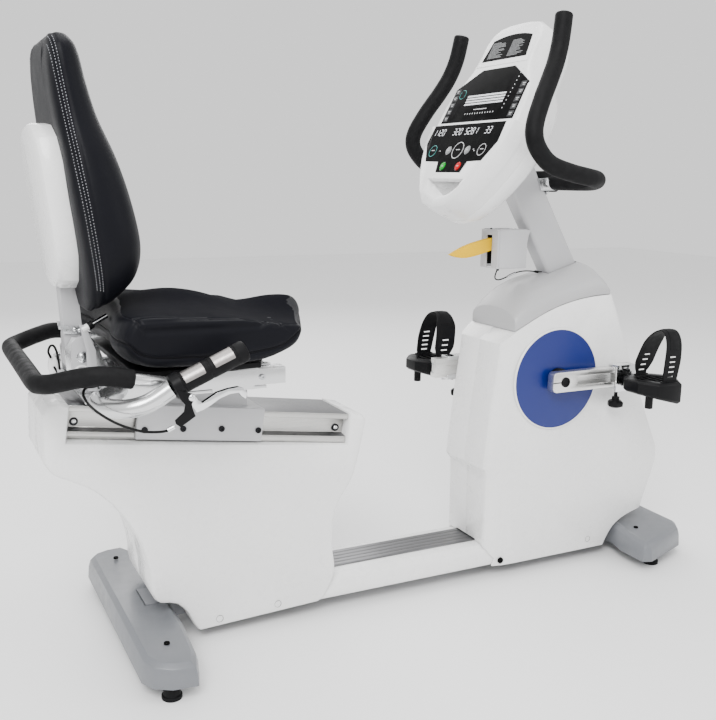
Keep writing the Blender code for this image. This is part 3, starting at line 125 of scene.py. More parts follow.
# ---- mesh tools ----
def at(x, y, z):
    """A point measured from the middle of the walk-through, as the part is drawn, in the frame."""
    return Vector((x + SHIFT, y, z))


def add(name, points, faces):
    """An object made from points and faces, with its normals turned outward."""
    mesh = bpy.data.meshes.new(name)
    mesh.from_pydata([tuple(p) for p in points], [], faces)
    work = bmesh.new()
    work.from_mesh(mesh)
    bmesh.ops.recalc_face_normals(work, faces=work.faces)
    work.to_mesh(mesh)
    work.free()
    made = bpy.data.objects.new(name, mesh)
    bpy.context.scene.collection.objects.link(made)
    return made


def loft(name, rings):
    """A skin over rings of points, with a face across each end."""
    count = len(rings[0])
    points = [p for ring in rings for p in ring]
    faces = [tuple(range(count)), tuple(range((len(rings) - 1) * count, len(rings) * count))]
    for k in range(len(rings) - 1):
        for i in range(count):
            j = (i + 1) % count
            faces.append((k * count + i, k * count + j, (k + 1) * count + j, (k + 1) * count + i))
    return add(name, points, faces)


def curve_through(points, steps=4):
    """A smooth line through points, with the given steps between each two."""
    line = [Vector(p) for p in points]
    last = len(line) - 1
    slopes = [(line[min(i + 1, last)] - line[max(i - 1, 0)]) / 6 for i in range(last + 1)]
    out = [line[0]]
    for i in range(last):
        part = interpolate_bezier(
            line[i], line[i] + slopes[i], line[i + 1] - slopes[i + 1], line[i + 1], steps + 1
        )
        out.extend(part[1:])
    return out


def tube(name, path, radii, sides=20):
    """A round tube along a path, with one radius for each point or the same one throughout."""
    path = [Vector(p) for p in path]
    if not hasattr(radii, "__len__"):
        radii = [radii] * len(path)
    side = Vector((0.013, 1.0, 0.021)).normalized()
    rings = []
    for i, point in enumerate(path):
        along = (path[min(i + 1, len(path) - 1)] - path[max(i - 1, 0)]).normalized()
        side = (side - along * side.dot(along)).normalized()
        over = along.cross(side)
        turns = [2 * math.pi * k / sides for k in range(sides)]
        rings.append(
            [point + side * (radii[i] * math.cos(a)) + over * (radii[i] * math.sin(a)) for a in turns]
        )
    return loft(name, rings)


def domed(path, radius, dome):
    """The path and radii of a tube with rounded ends."""
    path = [Vector(p) for p in path]
    steps = 5
    head, head_r, tail, tail_r = [], [], [], []
    first = (path[0] - path[1]).normalized()
    last = (path[-1] - path[-2]).normalized()
    for k in range(steps):
        a = math.pi / 2 * (1 - k / steps)
        head.append(path[0] + first * dome * math.sin(a))
        head_r.append(max(0.0004, radius - dome + dome * math.cos(a)))
        b = math.pi / 2 * (k + 1) / steps
        tail.append(path[-1] + last * dome * math.sin(b))
        tail_r.append(max(0.0004, radius - dome + dome * math.cos(b)))
    return head + path + tail, head_r + [radius] * len(path) + tail_r


def lathe(name, start, axis, profile, sides=32):
    """A solid turned about an axis from a start point, from (distance, radius) pairs."""
    turn = Vector(axis).to_track_quat("Z", "X")
    rings = []
    for distance, r in profile:
        ring = []
        for i in range(sides):
            a = 2 * math.pi * i / sides
            ring.append(Vector(start) + turn @ Vector((r * math.cos(a), r * math.sin(a), distance)))
        rings.append(ring)
    return loft(name, rings)


def slab(name, outline, to_point, low, high):
    """A plate with this outline between two heights, placed by to_point(a, b, height)."""
    return loft(name, [[to_point(a, b, h) for a, b in outline] for h in (low, high)])


def merge(name, pieces):
    """One object from several."""
    work = bmesh.new()
    for piece in pieces:
        piece.data.transform(piece.matrix_world)
        work.from_mesh(piece.data)
        bpy.data.objects.remove(piece)
    mesh = bpy.data.meshes.new(name)
    work.to_mesh(mesh)
    work.free()
    made = bpy.data.objects.new(name, mesh)
    bpy.context.scene.collection.objects.link(made)
    return made


def settle(obj):
    """Turn an object's modifiers into its mesh."""
    bpy.context.view_layer.update()
    seen = obj.evaluated_get(bpy.context.evaluated_depsgraph_get())
    mesh = bpy.data.meshes.new_from_object(seen)
    obj.modifiers.clear()
    obj.data = mesh
    return obj


def cut(obj, *cutters):
    for cutter in cutters:
        step = obj.modifiers.new("cut", "BOOLEAN")
        step.operation = "DIFFERENCE"
        step.solver = "EXACT"
        step.object = cutter
    settle(obj)
    for cutter in cutters:
        bpy.data.objects.remove(cutter)
    return obj


def round_edges(obj, width, segments=2, angle=30):
    """Round the sharp edges of a mesh and shade it smooth."""
    work = bmesh.new()
    work.from_mesh(obj.data)
    bmesh.ops.remove_doubles(work, verts=work.verts, dist=1e-6)
    bmesh.ops.dissolve_limit(work, angle_limit=math.radians(0.6), verts=work.verts, edges=work.edges)
    work.to_mesh(obj.data)
    work.free()
    bevel = obj.modifiers.new("edges", "BEVEL")
    bevel.width = width
    bevel.segments = segments
    bevel.limit_method = "ANGLE"
    bevel.angle_limit = math.radians(angle)
    bevel.harden_normals = False
    settle(obj)
    return smooth(obj, 40)


def smooth(obj, angle=40):
    obj.data.shade_smooth()
    obj.data.set_sharp_from_angle(angle=math.radians(angle))
    return obj


def piece(obj, body, material, slot=None, stands_for=()):
    """Give a finished piece its material and its body."""
    obj.data.materials.clear()
    obj.data.materials.append(material)
    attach(obj, body)
    if stands_for:
        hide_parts(*stands_for)
    return obj


def turned(name, place, axis, profile, body, material, slot=None, sides=32, angle=35, stands_for=()):
    """A finished piece turned about an axis."""
    return piece(smooth(lathe(name, place, axis, profile, sides), angle), body, material, slot, stands_for)


def bent(name, path, radii, body, material, slot=None, sides=20, angle=40, stands_for=()):
    """A finished round bar along a path."""
    return piece(smooth(tube(name, path, radii, sides), angle), body, material, slot, stands_for)


def plate_from(name, outline, y_low, y_high, body, material, slot, edge=0.0012):
    """A finished upright plate with an (x, z) outline."""
    plate = slab(name, outline, lambda x, z, y: at(x, y, z), y_low, y_high)
    return piece(round_edges(plate, edge), body, material, slot)


def box_outline(low, high):
    """The corners of a rectangle between two (a, b) points."""
    return [low, (high[0], low[1]), high, (low[0], high[1])]


# ---- materials ----
DARK = 0.06
DARK_SPECULAR = 0.09


class Nodes:
    """Adds nodes to a material and joins them up."""

    def __init__(self, name, colour, roughness, metallic=0.0):
        self.material = bpy.data.materials.new(name)
        self.material.use_nodes = True
        self.tree = self.material.node_tree
        self.shader = self.tree.nodes["Principled BSDF"]
        self.colour = (*colour, 1.0)
        self.set("Base Color", self.colour)
        self.set("Roughness", roughness)
        self.set("Metallic", metallic)
        if max(colour) < DARK:
            self.set("Specular IOR Level", DARK_SPECULAR)
        self.where = self.node("ShaderNodeTexCoord").outputs["Object"]

    def node(self, kind, inputs=None, **values):
        made = self.tree.nodes.new(kind)
        for key, value in values.items():
            setattr(made, key, value)
        for key, value in (inputs or {}).items():
            made.inputs[key].default_value = value
        return made

    def set(self, key, value):
        self.shader.inputs[key].default_value = value

    def link(self, source, target):
        self.tree.links.new(source, target)

    def stretched(self, scale):
        mapping = self.node("ShaderNodeMapping", {"Scale": scale})
        self.link(self.where, mapping.inputs["Vector"])
        return mapping.outputs["Vector"]

    def noise(self, scale, detail=3.0, vector=None, roughness=0.55):
        made = self.node("ShaderNodeTexNoise", {"Scale": scale, "Detail": detail, "Roughness": roughness})
        self.link(vector or self.where, made.inputs["Vector"])
        return made.outputs["Fac"]

    def cells(self, scale, vector=None, feature="DISTANCE_TO_EDGE"):
        made = self.node("ShaderNodeTexVoronoi", {"Scale": scale}, feature=feature)
        self.link(vector or self.where, made.inputs["Vector"])
        return made.outputs["Distance"]

    def ranged(self, source, low, high, from_low=0.3, from_high=0.7):
        limits = {"From Min": from_low, "From Max": from_high, "To Min": low, "To Max": high}
        made = self.node("ShaderNodeMapRange", limits)
        self.link(source, made.inputs["Value"])
        return made.outputs["Result"]

    def vary_colour(self, source, amount):
        """Lighten and darken the base colour by a share either way."""
        dark = [c * (1 - amount) for c in self.colour[:3]]
        light = [min(1.0, c * (1 + amount)) for c in self.colour[:3]]
        mix = self.node("ShaderNodeMix", data_type="RGBA")
        mix.inputs["A"].default_value = (*dark, 1.0)
        mix.inputs["B"].default_value = (*light, 1.0)
        self.link(self.ranged(source, 0.0, 1.0), mix.inputs["Factor"])
        self.link(mix.outputs["Result"], self.shader.inputs["Base Color"])

    def vary_roughness(self, source, low, high):
        self.link(self.ranged(source, low, high), self.shader.inputs["Roughness"])

    def vary(self, tint, amount, gloss, low, high):
        """Cloud the colour and the roughness, each by a (scale, detail) noise."""
        self.vary_colour(self.noise(*tint), amount)
        self.vary_roughness(self.noise(*gloss), low, high)

    def bump(self, source, distance, strength=1.0, after=None):
        made = self.node("ShaderNodeBump", {"Distance": distance, "Strength": strength})
        self.link(source, made.inputs["Height"])
        if after is not None:
            self.link(after, made.inputs["Normal"])
        self.link(made.outputs["Normal"], self.shader.inputs["Normal"])
        return made.outputs["Normal"]


def moulded(name, colour, roughness=0.28, coat=0.25, grain=0.00004, specular=None):
    """Injection-moulded plastic: a faint orange peel, soft gloss and slight handling marks."""
    n = Nodes(name, colour, roughness)
    if specular is not None:
        n.set("Specular IOR Level", specular)
    n.vary((5.0, 4.0), 0.018, (38.0, 5.0), roughness - 0.05, roughness + 0.07)
    peel = n.bump(n.noise(240.0, 2.0), grain)
    n.bump(n.noise(2200.0, 1.0), grain * 0.25, after=peel)
    n.set("Coat Weight", coat)
    n.set("Coat Roughness", 0.12)
    return n.material


def clouded(name, colour, roughness, metallic, tint, gloss, bump):
    """A plain finish from three noises.

    tint is (scale, detail, share), gloss (scale, detail, down, up) and bump (scale, detail, depth).
    """
    n = Nodes(name, colour, roughness, metallic)
    n.vary_colour(n.noise(*tint[:2]), tint[2])
    if gloss:
        n.vary_roughness(n.noise(*gloss[:2]), roughness + gloss[2], roughness + gloss[3])
    n.bump(n.noise(*bump[:2]), bump[2])
    return n.material


def painted(name, colour, roughness=0.38, metallic=0.0, grain=0.00006):
    """Powder coat with a fine pebbled surface."""
    gloss = (70.0, 4.0, -0.06, 0.08)
    return clouded(name, colour, roughness, metallic, (9.0, 3.0, 0.025), gloss, (850.0, 2.0, grain))


def satin(name, colour, roughness):
    """Smooth satin metal, faintly clouded."""
    gloss = (45.0, 4.0, -0.03, 0.05)
    return clouded(name, colour, roughness, 0.9, (7.0, 3.0, 0.03), gloss, (1800.0, 2.0, 0.000004))


def rubbery(name, colour=(0.006, 0.006, 0.0066), roughness=0.5):
    """Matt rubber with a fine grain."""
    gloss = (90.0, 4.0, -0.08, 0.12)
    return clouded(name, colour, roughness, 0.0, (60.0, 4.0, 0.18), gloss, (1400.0, 3.0, 0.00006))


def thread(name, colour):
    """Twisted stitching thread."""
    return clouded(name, colour, 0.7, 0.0, (600.0, 3.0, 0.2), None, (2500.0, 3.0, 0.00008))


def brushed(name, colour, roughness, along=(6.0, 900.0, 900.0)):
    """Metal with fine brush lines along one axis."""
    n = Nodes(name, colour, roughness, 1.0)
    lines = n.noise(1.0, 4.0, n.stretched(along), 0.65)
    n.vary_roughness(lines, roughness - 0.09, roughness + 0.12)
    n.vary_colour(n.noise(16.0, 3.0), 0.05)
    n.bump(lines, 0.00005)
    return n.material


def plated(name, colour, roughness):
    """Plated steel with hairline scratches."""
    n = Nodes(name, colour, roughness, 1.0)
    scratches = n.noise(1.0, 6.0, n.stretched((420.0, 60.0, 240.0)), 0.75)
    n.vary_roughness(scratches, max(0.03, roughness - 0.04), roughness + 0.1)
    n.vary_colour(n.noise(25.0), 0.03)
    n.bump(scratches, 0.00001)
    return n.material


def foam(name):
    """Closed-cell foam with a skin of small pits."""
    n = Nodes(name, (0.0065, 0.0065, 0.007), 0.62)
    n.vary((120.0, 5.0), 0.25, (60.0,), 0.5, 0.7)
    pits = n.bump(n.cells(1500.0, feature="F1"), 0.00012, 0.6)
    n.bump(n.noise(500.0, 4.0), 0.0001, 0.5, after=pits)
    return n.material


def vinyl(name, rough, specular, colour=(0.0048, 0.005, 0.007)):
    """Upholstery vinyl: a fine pebbled grain and a soft sheen."""
    n = Nodes(name, colour, rough)
    n.vary((14.0, 4.0), 0.06, (30.0, 4.0), rough - 0.02, rough + 0.03)
    warped = n.node("ShaderNodeVectorMath", operation="ADD")
    n.link(n.where, warped.inputs[0])
    drift = n.node("ShaderNodeTexNoise", {"Scale": 60.0})
    n.link(n.where, drift.inputs["Vector"])
    scale = n.node("ShaderNodeVectorMath", {"Scale": 0.004}, operation="SCALE")
    n.link(drift.outputs["Color"], scale.inputs[0])
    n.link(scale.outputs["Vector"], warped.inputs[1])
    pebbles = n.ranged(n.cells(700.0, warped.outputs["Vector"]), 0.0, 1.0, 0.0, 0.28)
    n.bump(pebbles, 0.00008, 0.5)
    n.set("Specular IOR Level", specular)
    return n.material


def ink(name, colour, glow=0.0):
    """Printed or lit marks under a clear overlay."""
    n = Nodes(name, colour, 0.35)
    n.vary_colour(n.noise(300.0, 2.0), 0.06)
    n.bump(n.noise(1500.0, 1.0), 0.00001)
    if glow:
        n.set("Emission Color", n.colour)
        n.set("Emission Strength", glow)
    return n.material


WHITE = moulded("white_moulding", (0.82, 0.82, 0.815))
CONSOLE_WHITE = moulded("console_white", (0.84, 0.84, 0.84), 0.3)
GREY = moulded("foot_grey", (0.145, 0.152, 0.165), 0.36, 0.1, 0.00006)
COWL = moulded("cowl_grey", (0.4, 0.4, 0.405), 0.36, 0.1, 0.00006)
PALE = painted("pale_grey_coat", (0.44, 0.44, 0.45), 0.36)
FRAME = painted("frame_coat", (0.2, 0.205, 0.22), 0.45)
SILVER = satin("silver_coat", (0.66, 0.665, 0.67), 0.24)
ALUMINIUM = brushed("brushed_aluminium", (0.74, 0.735, 0.72), 0.3)
TREAD = brushed("tread_aluminium", (0.17, 0.17, 0.175), 0.36)
RAIL = brushed("rail_aluminium", (0.5, 0.495, 0.48), 0.24)
SENSOR = brushed("sensor_steel", (0.36, 0.34, 0.33), 0.34, (500.0, 20.0, 500.0))
CHROME = plated("chrome", (0.8, 0.81, 0.82), 0.1)
ZINC = plated("zinc", (0.55, 0.56, 0.57), 0.26)
BLACK_STEEL = plated("black_oxide", (0.02, 0.02, 0.022), 0.34)
BLACK = moulded("black_moulding", (0.006, 0.006, 0.0065), 0.38, 0.0, 0.00006)
# Near-black painted shade for screw recesses, the crank clamp slits and the inside of the lever box.
RECESS_SHADE = rubbery("painted_recess_shade", (0.0015, 0.0015, 0.0015), 0.8)
FOAM = foam("grip_foam")
RUBBER = rubbery("black_rubber")
VINYL = vinyl("seat_vinyl", 0.44, 0.08)
TOP_VINYL = vinyl("seat_top_vinyl", 0.8, 0.015)
PIPING = vinyl("piping_vinyl", 0.5, 0.06, (0.0045, 0.0045, 0.0055))
STITCH = thread("grey_thread", (0.2, 0.205, 0.22))
BLUE = moulded("disc_blue", (0.0004, 0.0095, 0.13), 0.34, 0.0)
YELLOW = moulded("lever_yellow", (0.74, 0.44, 0.0), 0.5, 0.0, specular=0.05)
OVERLAY = moulded("overlay_black", (0.0016, 0.0016, 0.0018), 0.24, 0.0, 0.00001, 0.015)
GLASS_BLACK = moulded("window_black", (0.001, 0.001, 0.0012), 0.12, 0.0, 0.000004, 0.02)
WHITE_INK = ink("white_ink", (0.62, 0.62, 0.63))
LIT = ink("lit_segments", (0.78, 0.79, 0.82), 0.25)
GREY_INK = ink("grey_ink", (0.2, 0.205, 0.21))
TEAL_INK = ink("teal_ink", (0.02, 0.26, 0.24))
GREEN = moulded("start_green", (0.0, 0.28, 0.02), 0.4, 0.0, specular=0.08)
RED = moulded("stop_red", (0.46, 0.0, 0.003), 0.4, 0.0, specular=0.08)
IRON = painted("flywheel_iron", (0.08, 0.08, 0.085), 0.55, 0.6, 0.00015)
SHEATH = rubbery("cable_sheath", (0.005, 0.005, 0.005), 0.38)


# ---- CAD nodes that keep their shape ----
def paint_cad():
    """Better materials on the CAD nodes that are shown as they are."""
    looks = {
        "main_frame": FRAME,
        "crank_axle": ZINC,
        "drive_pulley": BLACK,
        "flywheel": IRON,
        "drive_belt": RUBBER,
        "handlebar": CHROME,
        "rear_handle": SILVER,
        "lock_cable": SHEATH,
        "seat_cable": SHEATH,
    }
    for node, material in looks.items():
        mesh = frame["nodes"][node].data
        for i in range(len(mesh.materials)):
            mesh.materials[i] = material


def refine(node, material, width, segments=2, angle=30):
    """A copy of a CAD node with its edges rounded, shown in its place."""
    copy = frame["nodes"][node].copy()
    copy.data = copy.data.copy()
    copy.name = node + "_shown"
    copy.parent = None
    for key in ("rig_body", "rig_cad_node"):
        del copy[key]
    bpy.context.scene.collection.objects.link(copy)
    round_edges(copy, width, segments, angle)
    return piece(copy, BODY_OF[node], material, stands_for=[node])


def refine_hard_parts():
    """The CAD nodes that keep their shape, by material, edge width and edge segments."""
    for material, width, segments, nodes in (
        (WHITE, 0.002, 2, "beam_cover rear_shroud_right rear_shroud_left"),
        (WHITE, 0.003, 2, "front_shroud_right front_shroud_left"),
        (WHITE, 0.006, 3, "backrest_panel"),
        (TREAD, 0.0004, 1, "beam_tread"),
        (GREY, 0.006, 3, "rear_foot_cover front_foot_cover"),
        (RAIL, 0.0008, 2, "seat_rail"),
        (PALE, 0.003, 2, "console_mast"),
        (PALE, 0.0016, 2, "lever_box seat_carriage"),
        (PALE, 0.0035, 3, "backrest_mast"),
        (COWL, 0.004, 3, "mast_cowl"),
        (SILVER, 0.002, 2, "seat_frame"),
        (BLACK, 0.002, 2, "seat_pan"),
        (BLACK, 0.0015, 2, "slider_knob_right slider_knob_left"),
        (BLACK, 0.003, 3, "pedal_right pedal_left"),
        (BLACK, 0.001, 2, "lever_bracket"),
        (ALUMINIUM, 0.0012, 2, "crank_arm_right crank_arm_left"),
        (CHROME, 0.001, 2, "crank_slider_right crank_slider_left"),
        (CHROME, 0.003, 3, "seat_lever"),
        (YELLOW, 0.0025, 2, "lock_lever"),
        (CONSOLE_WHITE, 0.0025, 2, "console_face"),
        (CONSOLE_WHITE, 0.004, 2, "console_back"),
        (GREEN, 0.0008, 2, "start_key"),
        (RED, 0.0008, 2, "stop_key"),
        (GREY_INK, 0.0006, 2, "level_up_key level_down_key"),
        (RUBBER, 0.0012, 2, "leveler_rear_right leveler_rear_left leveler_front_right leveler_front_left"),
    ):
        for node in nodes.split():
            refine(node, material, width, segments)
    pan = bpy.data.objects["seat_pan_shown"]
    neck = -0.36 + SHIFT
    for vert in pan.data.vertices:
        vert.co.x = min(vert.co.x, neck + (vert.co.x - neck) * 0.45)
    rail = bpy.data.objects["seat_rail_shown"]
    rail.data.materials.append(TREAD)
    for face in rail.data.polygons:
        if face.normal.z > 0.9:
            face.material_index = 1


# ---- fasteners ----
def socket_screw(name, place, axis, radius, body, material, slot, height=0.004):
    """A round head with a hexagonal socket."""
    rise = radius * 0.18
    head = lathe(name, place, axis, [(-0.002, radius), (height - rise, radius), (height, radius - rise)], 24)
    return socketed(
        head, Vector(place) + Vector(axis) * height * 0.4, axis, radius * 0.45, body, material, slot
    )


def socketed(head, place, axis, reach, body, material, slot):
    """A screw head with its hexagonal socket cut out."""
    cut(head, lathe("socket", place, axis, [(0, reach), (0.02, reach)], 6))
    return piece(smooth(head, 35), body, material, slot)


def dome_bolt(name, place, axis, radius, body, material, slot):
    """A button head with a driver socket."""
    steps = 5
    profile = [(-0.002, radius)]
    for k in range(steps + 1):
        a = math.pi / 2 * k / steps * 0.86
        profile.append((radius * 0.55 * math.sin(a), radius * math.cos(a)))
    head = lathe(name, place, axis, profile, 28)
    return socketed(
        head, Vector(place) + Vector(axis) * radius * 0.3, axis, radius * 0.32, body, material, slot
    )


def washer_screw(name, place, axis, radius, body, slot):
    """A pale screw sitting in a dark ring."""
    turn = Vector(axis)
    rim = [(-0.001, radius), (0.0012, radius), (0.0018, radius * 0.9)]
    turned(name + "_ring", place, turn, rim, body, BLACK_STEEL, "black", 28)
    return dome_bolt(name, Vector(place) + turn * 0.0016, turn, radius * 0.62, body, CHROME, slot)


def rail_point(along, up, y):
    """A point along, over and across the sloping seat rail."""
    c = math.cos(RAIL_PITCH)
    s = math.sin(RAIL_PITCH)
    return RAIL_MID + Vector((along * c + up * s, y, up * c - along * s))


def fasteners():
    """The bolts and screws of the carriage, the rail, the shrouds and the feet."""
    for word, side in SIDES:
        out = Vector((0, side, 0))
        for k, (x, z) in enumerate(((-0.538, 0.477), (-0.459, 0.471), (-0.377, 0.462), (-0.296, 0.45))):
            name = f"carriage_bolt_{word}_{k + 1}"
            socket_screw(name, at(x, side * 0.088, z), out, 0.0065, "seat", BLACK_STEEL, "pale_paint")
        for k, along in enumerate((-0.288, 0.288)):
            washer_screw(
                f"rail_screw_{word}_{k + 1}", rail_point(along, -0.004, side * 0.0522), out, 0.0085,
                "chassis", "aluminium"
            )
        for k, (x, z, y) in enumerate(((-0.393, 0.047, 0.1081), (-0.257, 0.051, 0.1026))):
            recessed_screw(f"rear_shroud_screw_{word}_{k + 1}", at(x, side * y, z), out, 0.008)
        for k, (x, z) in enumerate(((0.343, 0.044), (0.62, 0.055))):
            recessed_screw(f"front_shroud_screw_{word}_{k + 1}", at(x, side * 0.1, z), out, 0.0078)
    for k, (x, y) in enumerate(((-0.54, 0.227), (0.748, 0.14))):
        for word, side in SIDES:
            recessed_screw(f"foot_screw_{word}_{k + 1}", at(x, side * y, 0.0828), Vector((0, 0, 1)), 0.0058)


def recessed_screw(name, place, axis, radius):
    """A screw hole, level with the cover, coloured near-black as painted shade for the recess."""
    rim = [
        (-0.003, radius), (0.0004, radius), (0.0004, radius * 0.93), (-0.001, radius * 0.88),
        (-0.001, radius * 0.1)
    ]
    return turned(name, place, axis, rim, "chassis", RECESS_SHADE, "black", 24)


# ---- cushions ----
CUSHION_VOXEL = 0.005
CUSHION_SHRINK = 0.001
CUSHION_FRAMES = 20
PIPING_ROUNDS = 4
TOP_FACE = 0.93
SEAT_TOP = (
    (0.01, 0.7, 0.7),
    (0.05, 0.731, 0.7245),
    (0.14, 0.743, 0.728),
    (0.24, 0.748, 0.7265),
    (0.34, 0.75, 0.7235),
    (0.46, 0.742, 0.72),
    (0.57, 0.728, 0.7185),
    (0.665, 0.718, 0.7165),
    (0.745, 0.721, 0.7125),
    (0.83, 0.727, 0.7075),
    (0.92, 0.7285, 0.7035),
    (0.975, 0.7235, 0.701),
    (1.0, 0.71, 0.694),
)
BACKREST = (
    (0.722, -0.647, -0.632, 0.11),
    (0.735, -0.6475, -0.606, 0.135),
    (0.752, -0.649, -0.584, 0.155),
    (0.79, -0.651, -0.553, 0.182),
    (0.846, -0.656, -0.543, 0.198),
    (0.927, -0.667, -0.558, 0.196),
    (1.006, -0.676, -0.582, 0.182),
    (1.08, -0.686, -0.612, 0.16),
    (1.145, -0.693, -0.629, 0.148),
    (1.185, -0.6965, -0.636, 0.142),
    (1.21, -0.6955, -0.643, 0.132),
    (1.2265, -0.6895, -0.655, 0.11),
)


def eased(moves, edges, rounds):
    """A field of movements averaged over a mesh, so that only its broad swell is left."""
    count = np.bincount(edges.ravel(), minlength=len(moves))[:, None]
    for _ in range(rounds):
        total = np.zeros_like(moves)
        np.add.at(total, edges[:, 0], moves[edges[:, 1]])
        np.add.at(total, edges[:, 1], moves[edges[:, 0]])
        moves = 0.4 * moves + 0.6 * total / count
    return moves


def places(mesh):
    """A mesh's points as an array."""
    flat = np.empty(len(mesh.vertices) * 3)
    mesh.vertices.foreach_get("co", flat)
    return flat.reshape(-1, 3)


def closed_curve(points, steps):
    """A smooth closed line through (a, b) points."""
    looped = [(a, b, 0.0) for a, b in points[-2:] + points + points[:2]]
    return curve_through(looped, steps)[2 * steps:-2 * steps]


def seat_section(y, inset):
    """The seat's (x, z) outline at one distance from the middle, drawn in by inset."""
    share = abs(y) / 0.25
    front = -0.172 - 0.41 * (math.hypot(y, 0.03) - 0.03)
    rear = -0.6 - 0.048 * share ** 2 * (1 - share ** 4)
    line = []
    crown = 1.08 * share ** 2 / (share ** 2 + 0.08)
    for along, middle_z, edge_z in SEAT_TOP:
        hollow = 0.036 * share * (1 - share) * min(max((along - 0.5) / 0.2, 0.0), 1.0)
        line.append((rear + (front - rear) * along, middle_z + (edge_z - middle_z) * crown - hollow))
    lift = 0.01 * share ** 4
    line += [(front - 0.001, 0.678 + lift), (front - 0.01, 0.657 + lift), (front - 0.034, 0.641 + lift)]
    line += [(front - 0.09, 0.632), (-0.44, 0.63), (rear + 0.05, 0.634), (rear + 0.014, 0.648 + lift)]
    line += [(rear, 0.672 + lift)]
    curve = closed_curve(line, 3)
    out = []
    for before, point, after in zip([curve[-1]] + curve[:-1], curve, curve[1:] + [curve[0]]):
        along = (after - before).normalized()
        out.append(at(point.x - along.y * -inset, y, point.y + along.x * -inset))
    return out


def seat_shape():
    """The seat before it is stuffed, with rounded ends on each side."""
    half = 0.2495
    round_by = 0.013
    rings = []
    stations = [(half - round_by) * k / 12 for k in range(-12, 13)]
    ends = [math.radians(a) for a in (18, 36, 54, 70, 82)]
    for a in reversed(ends):
        rings.append(seat_section(-half + round_by * (1 - math.sin(a)), round_by * (1 - math.cos(a))))
    rings += [seat_section(y, 0.0) for y in stations]
    for a in ends:
        rings.append(seat_section(half - round_by * (1 - math.sin(a)), round_by * (1 - math.cos(a))))
    return loft("seat_pad", rings)


def backrest_shape():
    """The back pad before it is stuffed."""
    depths = curve_through([(z, rear, front) for z, rear, front, _ in BACKREST], 5)
    halves = curve_through([(z, half, 0.0) for z, _, _, half in BACKREST], 5)
    rings = []
    for depth, wide in zip(depths, halves):
        z, rear, front = depth
        half = wide.y
        deep = front - rear
        side = [(rear + 0.0005, half * 0.5), (rear, half * 0.8), (rear + 0.15 * deep, half * 0.97)]
        side += [
            (rear + 0.42 * deep, half), (rear + 0.72 * deep, half * 0.94), (rear + 0.92 * deep, half * 0.78)
        ]
        side += [(front, half * 0.52)]
        whole = [(rear, 0.0)] + side + [(front - 0.06 * deep, 0.0)] + [(x, -y) for x, y in side[::-1]]
        rings.append([at(p.x, p.y, z) for p in closed_curve(whole, 3)])
    return loft("backrest_pad", rings)


def inflate(soft, pressure, cap, share, rounds):
    """Stuff a plain shape by blowing it up in a short cloth simulation, and keep a share of the swell."""
    remesh = soft.modifiers.new("remesh", "REMESH")
    remesh.mode = "VOXEL"
    remesh.voxel_size = CUSHION_VOXEL
    relax = soft.modifiers.new("relax", "SMOOTH")
    relax.iterations = rounds
    relax.factor = 0.5
    settle(soft)
    start = places(soft.data)
    normals = np.array([v.normal for v in soft.data.vertices])
    start = start - normals * CUSHION_SHRINK
    soft.data.vertices.foreach_set("co", start.ravel())
    soft.data.update()
    cloth = soft.modifiers.new("cloth", "CLOTH")
    cloth.settings.quality = 5
    cloth.settings.use_pressure = True
    cloth.settings.uniform_pressure_force = pressure
    cloth.settings.tension_stiffness = 40
    cloth.settings.compression_stiffness = 40
    cloth.settings.effector_weights.gravity = 0
    scene = bpy.context.scene
    for number in range(1, CUSHION_FRAMES + 1):
        scene.frame_set(number)
    settle(soft)
    scene.frame_set(1)
    edges = np.array([tuple(e.vertices) for e in soft.data.edges])
    swell = ((places(soft.data) - start) * normals).sum(axis=1, keepdims=True)
    swell = eased(np.clip(swell, -cap, cap) * share, edges, 60)
    soft.data.vertices.foreach_set("co", (start + normals * swell).ravel())
    soft.data.update()
    return soft


def subdivide(soft):
    """One smoothing subdivision, applied."""
    bpy.context.view_layer.update()
    fine = soft.modifiers.new("fine", "SUBSURF")
    fine.levels = 1
    fine.render_levels = 1
    settle(soft)


def finish_soft(soft, node, body):
    """Cover a pad with vinyl and shade it smooth, in place of its CAD node."""
    soft.data.shade_smooth()
    piece(soft, body, VINYL, stands_for=[node])
    return soft


def groove(obj, depth, width, distance):
    """Press a sewn line into a mesh wherever distance(point) is near zero."""
    work = bmesh.new()
    work.from_mesh(obj.data)
    work.normal_update()
    for vert in work.verts:
        d = distance(vert.co)
        if d is not None and abs(d) < 3 * width:
            vert.co -= vert.normal * depth * math.exp(-((d / width) ** 2))
    work.to_mesh(obj.data)
    work.free()


def surface_line(obj, starts, direction, lift):
    """Points where rays meet a mesh, lifted off it along its normal."""
    out = []
    for start in starts:
        hit, place, normal, _ = obj.ray_cast(Vector(start), Vector(direction).normalized())
        if hit:
            out.append(place + normal * lift)
    return out


def stitches(name, line, body, length=0.0032, gap=0.0022, radius=0.00075):
    """A row of separate stitches along a line of points."""
    pieces = []
    done = 0.0
    segment = []
    for a, b in zip(line, line[1:]):
        span = (b - a).length
        steps = max(1, int(span / 0.0009))
        for k in range(steps):
            place = a.lerp(b, k / steps)
            done += span / steps
            if done % (length + gap) < length:
                segment.append(place)
            elif len(segment) > 1:
                pieces.append(
                    tube("stitch", [segment[0], segment[len(segment) // 2], segment[-1]], radius, 5)
                )
                segment = []
            else:
                segment = []
    made = merge(name, pieces)
    return piece(smooth(made), body, STITCH, "vinyl")


def seat_side(p):
    """How far out towards a side panel a point of the seat lies: 0 inside, 1 on the panel."""
    return min(max((abs(p.y) - 0.225) / 0.015, 0.0), 1.0)


def seat_piping_z(x):
    """Height of the lower piped edge along the seat."""
    table = ((-0.62, 0.686), (-0.6, 0.68), (-0.58, 0.661), (-0.55, 0.653), (-0.46, 0.649), (-0.373, 0.65))
    table += ((-0.33, 0.655), (-0.303, 0.661), (-0.28, 0.676), (-0.262, 0.69), (-0.15, 0.692))
    return between(table, x - SHIFT)


